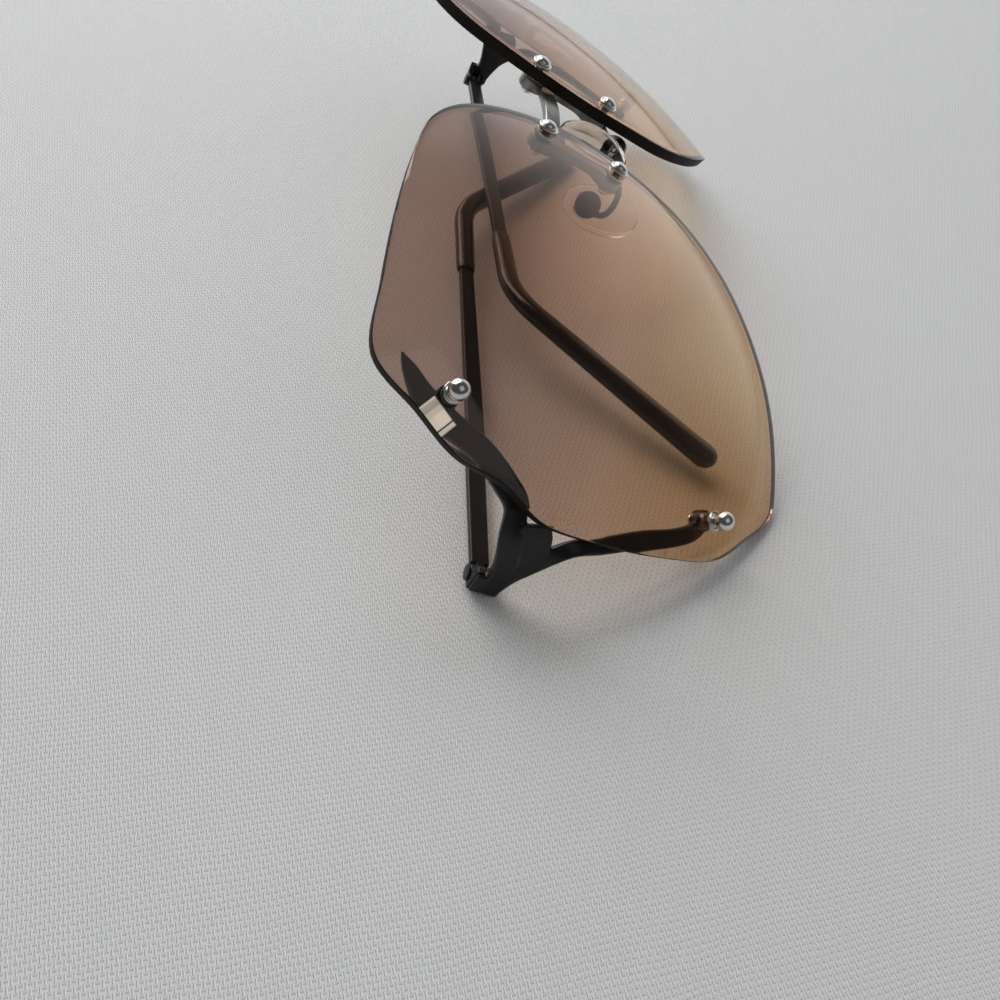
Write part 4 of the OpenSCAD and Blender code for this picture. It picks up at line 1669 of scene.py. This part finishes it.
@dataclass
class EndPieces:
    """The two forks that carry the hinges, with a stone in each."""

    finishes: Finishes
    form: LensForm = FORM
    seat: float = -2.41
    brow_w: float = 3.3
    cheek_w: float = 2.6
    branch_t: float = 1.3
    boss_r: float = 1.6
    boss_t: float = 1.8
    tail_h: float = 3.4
    tail_t: float = 1.3
    tail_x: float = 2.15
    tail_down: float = 1.1
    tail_end: float = -0.2
    hinge_h: float = 3.5
    hinge_in: float = 2.3
    hinge_up: float = 3.2
    hinge_back: float = 35.0
    tongue_h: float = 1.2
    ear_gap: float = 0.12
    knuckle_r: float = 1.2
    stone_size: Place = (4.6, 2.4, 1.0)
    stone_off: tuple[float, float] = (2.45, 0.7)
    stone_along: Place = (-0.5, 0.85, 0.45)
    pocket_spare: float = 0.04
    pocket_open: float = 1.5
    voxel: float = 0.16

    @property
    def hinge_at(self) -> Array:
        """Middle of the hinge."""
        return np.array([self.form.outer - self.hinge_in, self.hinge_up, -self.hinge_back])

    @property
    def tail_mid(self) -> Array:
        """Middle of the tail's rear end."""
        return self.hinge_at + np.array([self.tail_x, -self.tail_down, self.tail_end])

    @property
    def tail_face(self) -> Array:
        """Direction that the tail's flat side faces."""
        return np.array([1, 0, 0.05])

    def brow_branch(self) -> Shape:
        """The branch from the pointed horn, past the upper screw, to the tail.

        Returns:
            The left branch.
        """
        at, run = self.form.brow_screw, [0.5] * 5
        steps = [
            (-5.2, 7), (-3.4, 5.5), (-1.4, 3.4), (0.4, 0.5), (1.7, -3), (3, -6.7), (5.1, -10.4),
            (7, -12.8),
        ]
        tail = [(-0.6, 1.5, 11.2), (0.1, 0.4, 7.6), (0.1, -0.2, 4), (0, 0, 0)]
        path = [self.form.on_band(at + np.array(d)) for d in steps]
        path += [self.tail_mid + np.array(d) for d in tail]
        faces = [self.form.normal(at + np.array([k, -2 * k])) for k in range(8)]
        faces += [unit((0.85, 0.1, 0.5)), *[self.tail_face] * 3]
        halves = self.brow_w * np.array([0.03, 0.3, 0.42, 0.52, 0.5, *run, 0.46, 0.46])
        thins = self.branch_t * np.array([0.2, 0.45, 0.5, *run, 0.52, 0.55, 0.6, 0.6])
        return Strip(path, faces, halves, thins, steps=120).shape()

    def cheek_branch(self) -> Shape:
        """The branch from the lower screw to the tail.

        Returns:
            The left branch.
        """
        at = self.form.cheek_screw
        boss = self.form.point(at, -self.seat + self.boss_t / 2)
        steps = [(1, 3.3), (2.9, 6.7), (5.1, 11.8), (7.8, 17.7), (9.8, 22.6)]
        path = [boss, boss + np.array([1.1, 0.5, -0.7])]
        path += [self.form.on_band(at + np.array(d)) for d in steps]
        path += [self.tail_mid + np.array(d) for d in ((0, -2.9, 7), (0.1, -1.2, 4.2), (0, 0, 0))]
        faces = [self.form.normal(at + np.array([k, 3 * k])) for k in range(7)]
        faces += [unit((0.9, -0.1, 0.4)), *[self.tail_face] * 2]
        halves = self.cheek_w * np.array([0.5, 0.5, 0.5, 0.52, 0.54, 0.5, 0.46, 0.5, 0.55, 0.55])
        thins = self.branch_t * np.array([0.5, 0.5, 0.5, 0.5, 0.5, 0.5, 0.5, 0.55, 0.6, 0.6])
        return Strip(path, faces, halves, thins, steps=110).shape()

    def web(self) -> Shape:
        """The web that fills the fork's crotch.

        Returns:
            The left web.
        """
        steps = ((0, 0, 1), (0, -0.9, 5), (-0.2, -1.5, 8.5), (-0.8, -1.5, 11.6), (-1.5, -1.0, 14.0))
        path = [self.tail_mid + np.array(d) for d in steps]
        turns = ((0.95, 0, 0.3), (0.9, 0, 0.45), (0.8, 0, 0.6))
        faces = [self.tail_face] * 2 + [unit(turn) for turn in turns]
        halves = [1, 1.8, 2.5, 2.8, 2.0]
        thins = self.branch_t * np.array([0.5, 0.5, 0.45, 0.4, 0.3])
        return Strip(path, faces, halves, thins, sides=28, steps=36).shape()

    def bosses(self) -> list[Shape]:
        """The round bosses under the two screws.

        Returns:
            The left bosses.
        """
        made = []
        for p in self.form.temple_screws:
            turn, at = aim(self.form.point(p), self.form.normal(p), (0, 1, 0))
            rings = round_rings((self.seat - self.boss_t, self.seat), self.boss_r, 40)
            made.append(Shape.of(rings).placed(turn, at).outwards())
        return made

    def block(self) -> Shape:
        """The tail block that the hinge ears stand on.

        Returns:
            The left block.
        """
        low = self.tail_mid - np.array([self.tail_t / 2, self.tail_h / 2, 0.4])
        size = np.array([self.tail_t, self.tail_h + 0.9, 3.6])
        middle, half = low + size / 2, size / 2
        spots = [(middle[0], middle[1], low[2] + size[2] * share) for share in (0.0, 0.5, 1.0)]
        rings = [soft_ring(spot, X, Y, half[0], half[1], 32, 0.12) for spot in spots]
        return Shape.of(rings).outwards()

    @classmethod
    def stone_place(cls) -> tuple[Array, Array]:
        """Turn and place of the stone's front."""
        at = FORM.brow_screw + np.array(cls.stone_off)
        return aim(FORM.point(at, -cls.seat + 0.05), FORM.normal(at), cls.stone_along)

    def fork(self, side: Side) -> bpy.types.Object:
        """The fork as one skin, with its inner corners filled as in a casting.

        Args:
            side: Its side.

        Returns:
            The fork, with a pocket for the stone that is open to the lens's rim.
        """
        shapes = [self.brow_branch(), self.cheek_branch(), self.web(), self.block(), *self.bosses()]
        fork = Shape.joined(shapes).on_side(side)
        name = f"end_piece_skin_{side.value}"
        mesh = bpy.data.meshes.new(name)
        mesh.from_pydata(LIE.lay(fork.points).tolist(), [], fork.faces)
        obj = linked(name, mesh)
        modified(obj, "REMESH", mode="VOXEL", voxel_size=self.voxel / MM, adaptivity=0.0)
        modified(obj, "SMOOTH", factor=0.5, iterations=5)
        length, width, depth = self.stone_size
        turn, at = self.stone_place()
        spare, wide = self.pocket_spare, width / 2 + self.pocket_open + self.pocket_spare
        levels = (-depth - 0.03, 2.0)
        pocket = Shape.of([
            soft_ring((0, -self.pocket_open, z), X, Y, length / 2 + spare, wide, 24, 0.02)
            for z in levels
        ])
        carved(obj, pocket.placed(turn, at).on_side(side).made("pocket", None))
        dress(obj.data, self.finishes.gunmetal, 45)
        return obj

    def ears(self, side: Side) -> Shape:
        """The two hinge ears, standing on the tail.

        Args:
            side: Their side.

        Returns:
            The ears, for a left end piece.
        """
        ear = (self.hinge_h - self.tongue_h) / 2 - self.ear_gap
        r, x = self.knuckle_r, self.tail_x
        outline = [(0.0, -r), (x, 0.4 - r), (x, r + 2), (x - 0.9, r + 0.6), (0.0, r)]
        turns = [math.radians(a) for a in range(10, 180, 10)]
        outline += [(-r * math.sin(a), r * math.cos(a)) for a in turns]
        flat = np.array(outline)
        middle = flat.mean(axis=0)
        shapes = []
        for s in (-1, 1):
            y = s * (self.tongue_h / 2 + self.ear_gap + ear / 2)
            rings = []
            for level, inset in ((-1, 0.06), (-0.86, 0), (0.86, 0), (1, 0.06)):
                pulled = middle + (flat - middle) * (1 - inset / r)
                # the outline is drawn in X and Z of the hinge
                high = np.full(len(flat), y + level * ear / 2)
                rings.append(np.column_stack([pulled[:, 0], high, -pulled[:, 1]]))
            shapes.append(Shape.of(rings).outwards())
        shape = Shape.joined(shapes).placed(np.diag([1.0, 1.0, -1.0]), (0, 0, 0))
        return shape.placed(turn_z(-side.lean), self.hinge_at)

    def screw(self, side: Side) -> Shape:
        """The hinge screw with its low head.

        Args:
            side: Its side.

        Returns:
            The screw, for a left end piece.
        """
        half = self.hinge_h / 2
        top = half + 0.03
        profile = [
            (0.02, -half), (0.55, -half), (0.6, -half + 0.06), (0.6, top), (1.1, top),
            (1.2, half + 0.13), (1.2, half + 0.22), (1.1, half + 0.3), (0.8, half + 0.34),
            (0.02, half + 0.34),
        ]
        rings = [soft_ring((0, y, 0), Z, X, r, r, 32, 1.0) for r, y in profile]
        return Shape.of(rings).outwards().placed(turn_z(-side.lean), self.hinge_at)

    def stone(self) -> Shape:
        """A step-cut baguette: table, two steps down each side and a keel below.

        Returns:
            The left stone.
        """
        length, width, depth = self.stone_size
        steps = (
            (1.05, -depth), (0.35, -0.62), (0.0, -0.42), (0.0, -0.34), (0.22, -0.16), (0.5, 0.0),
        )
        rings = []
        for inset, z in steps:
            a, b = length / 2 - inset, width / 2 - min(inset, 0.9)
            rings.append(np.array([[a, b, z], [-a, b, z], [-a, -b, z], [a, -b, z]]))
        turn, at = self.stone_place()
        return Shape.of(rings).outwards().placed(turn, at)

    def build(self) -> None:
        """Makes the forks, ears, hinge screws and stones."""
        metal, glass = self.finishes.gunmetal, self.finishes.stone
        for side in Side:
            end = side.value
            ride(self.fork(side), "front", "gunmetal", f"end_piece_{end}")
            ears = self.ears(side).on_side(side).made(f"hinge_ears_{end}", metal, 35)
            ride(ears, "front", "gunmetal")
            screw = self.screw(side).on_side(side).made(f"hinge_screw_skin_{end}", metal, 40)
            ride(screw, "front", "gunmetal", f"hinge_screw_{end}")
            stone = self.stone().on_side(side).made(f"stone_cut_{end}", glass, 0)
            ride(stone, "front", "stone", f"stone_{end}")


# Temples


@dataclass
class Temples:
    """The two temples with their brown tip sleeves."""

    finishes: Finishes
    ends: EndPieces
    arm_l: float = 65.5
    bend_l: float = 84.0
    temple_l: float = 127.5
    arm_t: float = 1.1
    heights: Place = (2.8, 3.0, 2.5)
    belly: float = 24.0
    rise: float = 0.4
    bend_r: float = 14.0
    start: float = 1.7
    core_h: float = 1.7
    sleeve_h: float = 3.4
    sleeve_end_h: float = 4.6
    sleeve_ts: tuple[float, float] = (2.5, 3.3)

    @staticmethod
    def drop(side: Side) -> float:
        """Angle that the tip drops by."""
        return 38.0 if side is Side.RIGHT else 46.0

    @staticmethod
    def fold(side: Side) -> float:
        """How far past square the temple is folded."""
        return 1.1976 if side is Side.RIGHT else 5.5976

    def line(self, s: float, drop: float) -> tuple[float, float, float]:
        """The centre line in the temple's own plane.

        Args:
            s: Length along the temple from the hinge.
            drop: Angle in degrees that the tip drops by.

        Returns:
            X, Y and the angle in radians that the line has dropped by.
        """
        angle = math.radians(drop)
        half = self.bend_r * math.tan(angle / 2)
        start, turn = self.bend_l - half, self.bend_r * angle
        if s < start:
            return s, self.rise * min(1, max(0, s - self.belly) / (self.arm_l - self.belly)), 0.0
        a = min((s - start) / self.bend_r, angle)
        rest = max(0.0, s - start - turn)
        x = start + self.bend_r * math.sin(a) + rest * math.cos(a)
        y = self.rise - self.bend_r * (1 - math.cos(a)) - rest * math.sin(a)
        return x, y, a

    def section(
        self, s: float, drop: float, half_h: float, half_t: float, sides: int, power: float
    ) -> Array:
        """A cross section of the temple or its sleeve.

        Args:
            s: Length along the temple.
            drop: Angle in degrees that the tip drops by.
            half_h: Half height.
            half_t: Half thickness.
            sides: Number of points.
            power: 1 for an ellipse, near 0 for a rectangle.

        Returns:
            The ring.
        """
        x, y, a = self.line(s, drop)
        up = (math.sin(a), math.cos(a), 0)
        return soft_ring((x, y, 0), (0, 0, -1), up, half_t, half_h, sides, power)

    def arm(self, drop: float) -> Shape:
        """The flat arm, its core inside the sleeve, and its knuckle.

        Args:
            drop: Angle in degrees that the tip drops by.

        Returns:
            The temple, straight behind its hinge.
        """
        first, mid, last = self.heights
        half_t, rings = self.arm_t / 2, []
        for s in [self.start, *np.linspace(self.start + 0.15, self.arm_l - 0.05, 46)]:
            if s < self.belly:
                high = mix(first, mid, max(0.0, s) / self.belly)
            else:
                high = mix(mid, last, (s - self.belly) / (self.arm_l - self.belly))
            rings.append(self.section(s, drop, high / 2, half_t, 28, 0.24))
        core = [
            self.section(s, drop, self.core_h / 2, half_t - 0.02, 20, 0.4)
            for s in np.linspace(self.arm_l - 1, self.temple_l - 9, 60)
        ]
        r, h, soft = self.ends.knuckle_r, self.ends.tongue_h / 2, 0.06
        levels = ((-h, soft), (-h + soft, 0), (h - soft, 0), (h, soft))
        knuckle = [soft_ring((0, y, 0), Z, X, r - inset, r - inset, 36, 1.0) for y, inset in levels]
        reach = (0.2, 1.5, self.start + 0.9)
        tongue = [soft_ring((x, 0, 0), Y, Z, h, half_t, 20, 0.15) for x in reach]
        return Shape.joined([Shape.of(part).outwards() for part in (rings, core, knuckle, tongue)])

    def sleeve(self, drop: float) -> Shape:
        """The sleeve, thickening to a round end.

        Args:
            drop: Angle in degrees that the tip drops by.

        Returns:
            The sleeve, in its place on the temple.
        """
        half_end = self.sleeve_end_h / 2
        stops = list(np.linspace(self.arm_l + 0.1, self.temple_l - half_end, 70))
        turns = [math.radians(88 * k / 10) for k in range(1, 11)]
        stops += [self.temple_l - half_end * (1 - math.sin(turn)) for turn in turns]
        rings = []
        for number, s in enumerate(stops):
            share = (s - self.arm_l) / (self.temple_l - self.arm_l)
            past = max(0.0, s - self.temple_l + half_end) / half_end
            soft = math.sqrt(1 - past * past * 0.999)
            lip = (0.9, 0.97)[number] if number < 2 else 1.0
            thick = mix(*self.sleeve_ts, share)
            high = mix(self.sleeve_h, self.sleeve_end_h, share**1.5)
            half_h, half_t = high / 2 * soft * lip, thick / 2 * soft * lip
            rings.append(self.section(s, drop, half_h, half_t, 40, 0.8))
        return Shape.of(rings).outwards()

    def on_hinge(self, shape: Shape, side: Side) -> Shape:
        """Folds a temple's piece behind the lenses.

        Args:
            shape: The piece, straight behind its hinge.
            side: Its side.

        Returns:
            The piece in its place.
        """
        folded = turn_z(-side.lean) @ turn_y(self.fold(side)) @ MIRROR
        return shape.placed(folded, self.ends.hinge_at).on_side(side)

    def build(self) -> None:
        """Makes both temples and sleeves."""
        for side in Side:
            end, drop = side.value, self.drop(side)
            metal, brown = self.finishes.gunmetal, self.finishes.sleeve
            for shape, name, finish, sharp, slot, node in (
                (self.arm(drop), "temple_arm", metal, 35, "gunmetal", "temple"),
                (self.sleeve(drop), "tip_sleeve_skin", brown, 50, "sleeve", "tip_sleeve"),
            ):
                made = self.on_hinge(shape, side).made(f"{name}_{end}", finish, sharp)
                ride(made, f"{end}_temple", slot, f"{node}_{end}")


# Cloth, light and camera


@dataclass(frozen=True)
class Studio:
    """The cloth, the light and the camera at the photo's viewing angle."""

    camera_at: Place = (-157.2394, 52.3848, 73.9846)
    camera_turn: Place = (-2.32036114, 2.01614217, -1.29212234)
    lens_mm: float = 38.16
    reach: float = 3.0
    plain_light: float = 0.32
    shown_light: tuple[float, float] = (0.85, 0.06)
    lamps: tuple[tuple[str, Place, float, float], ...] = (
        ("window", (0.56, 0.32, 0.58), 0.8, 9.0), ("fill", (-0.7, -0.5, 1.0), 0.9, 0.9),
    )

    def camera_matrix(self) -> Matrix:
        """The camera's place, from its turn as a rotation vector in the design frame.

        Returns:
            The matrix in the row frame.
        """
        vector = np.array(self.camera_turn)
        angle = float(np.linalg.norm(vector))
        x, y, z = vector / angle
        cross = np.array([[0, -z, y], [z, 0, -x], [-y, x, 0]])
        turn = np.eye(3) + math.sin(angle) * cross + (1 - math.cos(angle)) * cross @ cross
        axes = LIE.turn @ turn.T @ np.diag([1.0, -1.0, -1.0])
        matrix = np.eye(4)
        matrix[:3, :3] = axes
        matrix[:3, 3] = LIE.lay([self.camera_at])[0]
        return Matrix(matrix.tolist())

    def cloth(self) -> None:
        """The pale cloth under the pair."""
        mesh = bpy.data.meshes.new("cloth_floor")
        low, high = -self.reach, self.reach
        corners = [(low, low, 0), (high, low, 0), (high, high, 0), (low, high, 0)]
        mesh.from_pydata(corners, [], [(0, 1, 2, 3)])
        mesh.materials.append(Cloth().material())
        linked("cloth_floor", mesh)

    def lamp(self, name: str, at: tuple[float, float, float], size: float, watts: float) -> None:
        """Adds a square soft lamp that faces the pair.

        Args:
            name: The lamp's name.
            at: Its place, in metres.
            size: Its side, in metres.
            watts: Its power.
        """
        light = bpy.data.lights.new(name, "AREA")
        light.shape = "SQUARE"
        light.size = size
        light.energy = watts
        lamp = linked(name, light)
        z = unit(at)
        x = unit(np.cross((0, 0, 1), z))
        matrix = np.eye(4)
        matrix[:3, :3] = np.column_stack([x, np.cross(z, x), z])
        matrix[:3, 3] = at
        lamp.matrix_world = Matrix(matrix.tolist())

    def world(self) -> None:
        """Pale surroundings: even light for the cloth, brighter on one side where they are seen."""
        world = bpy.data.worlds.new("studio")
        world.use_nodes = True
        bpy.context.scene.world = world
        graph = Graph(world.node_tree)
        paths = graph.node("ShaderNodeLightPath")
        rays = [graph.out(paths, f"Is {kind} Ray") for kind in ("Camera", "Glossy", "Transmission")]
        seen = graph.math("MAXIMUM", rays[0], graph.math("MAXIMUM", rays[1], rays[2]))
        x, _, z = graph.split(graph.out(graph.node("ShaderNodeTexCoord"), "Generated"))
        towards = (x * 0.95 - z * 0.6).smooth(-0.1, 0.85)
        gain, base = self.shown_light
        plain = graph.node(
            "ShaderNodeBackground", {"Color": (0.98, 0.99, 1.0, 1), "Strength": self.plain_light}
        )
        sockets = {"Color": (0.95, 0.98, 1.0, 1), "Strength": towards * gain + base}
        bright = graph.node("ShaderNodeBackground", sockets)
        sockets = {0: seen, 1: plain.outputs[0], 2: bright.outputs[0]}
        both = graph.node("ShaderNodeMixShader", sockets)
        graph.node("ShaderNodeOutputWorld", {"Surface": both.outputs[0]})

    def build(self) -> None:
        """Sets the stage."""
        self.cloth()
        self.world()
        for name, at, size, watts in self.lamps:
            self.lamp(name, at, size, watts)
        camera = bpy.data.cameras.new("camera")
        camera.lens = self.lens_mm
        camera.sensor_width = 36.0
        camera.clip_start = 0.005
        seat = linked("camera", camera)
        seat.matrix_world = self.camera_matrix()
        bpy.context.scene.camera = seat
        bpy.context.scene.view_settings.view_transform = "Standard"


def main() -> None:
    """Builds the glasses piece by piece on the CAD frame."""
    logging.basicConfig(level=logging.INFO, format="%(name)s: %(message)s")
    Studio().build()
    finishes = Finishes.all()
    bridge = Bridge(finishes)
    ends = EndPieces(finishes)
    Lenses(finishes).build()
    Fasteners(finishes).build()
    bridge.build()
    NosePads(finishes, bridge).build()
    ends.build()
    Temples(finishes, ends).build()


if __name__ == "__main__":
    main()
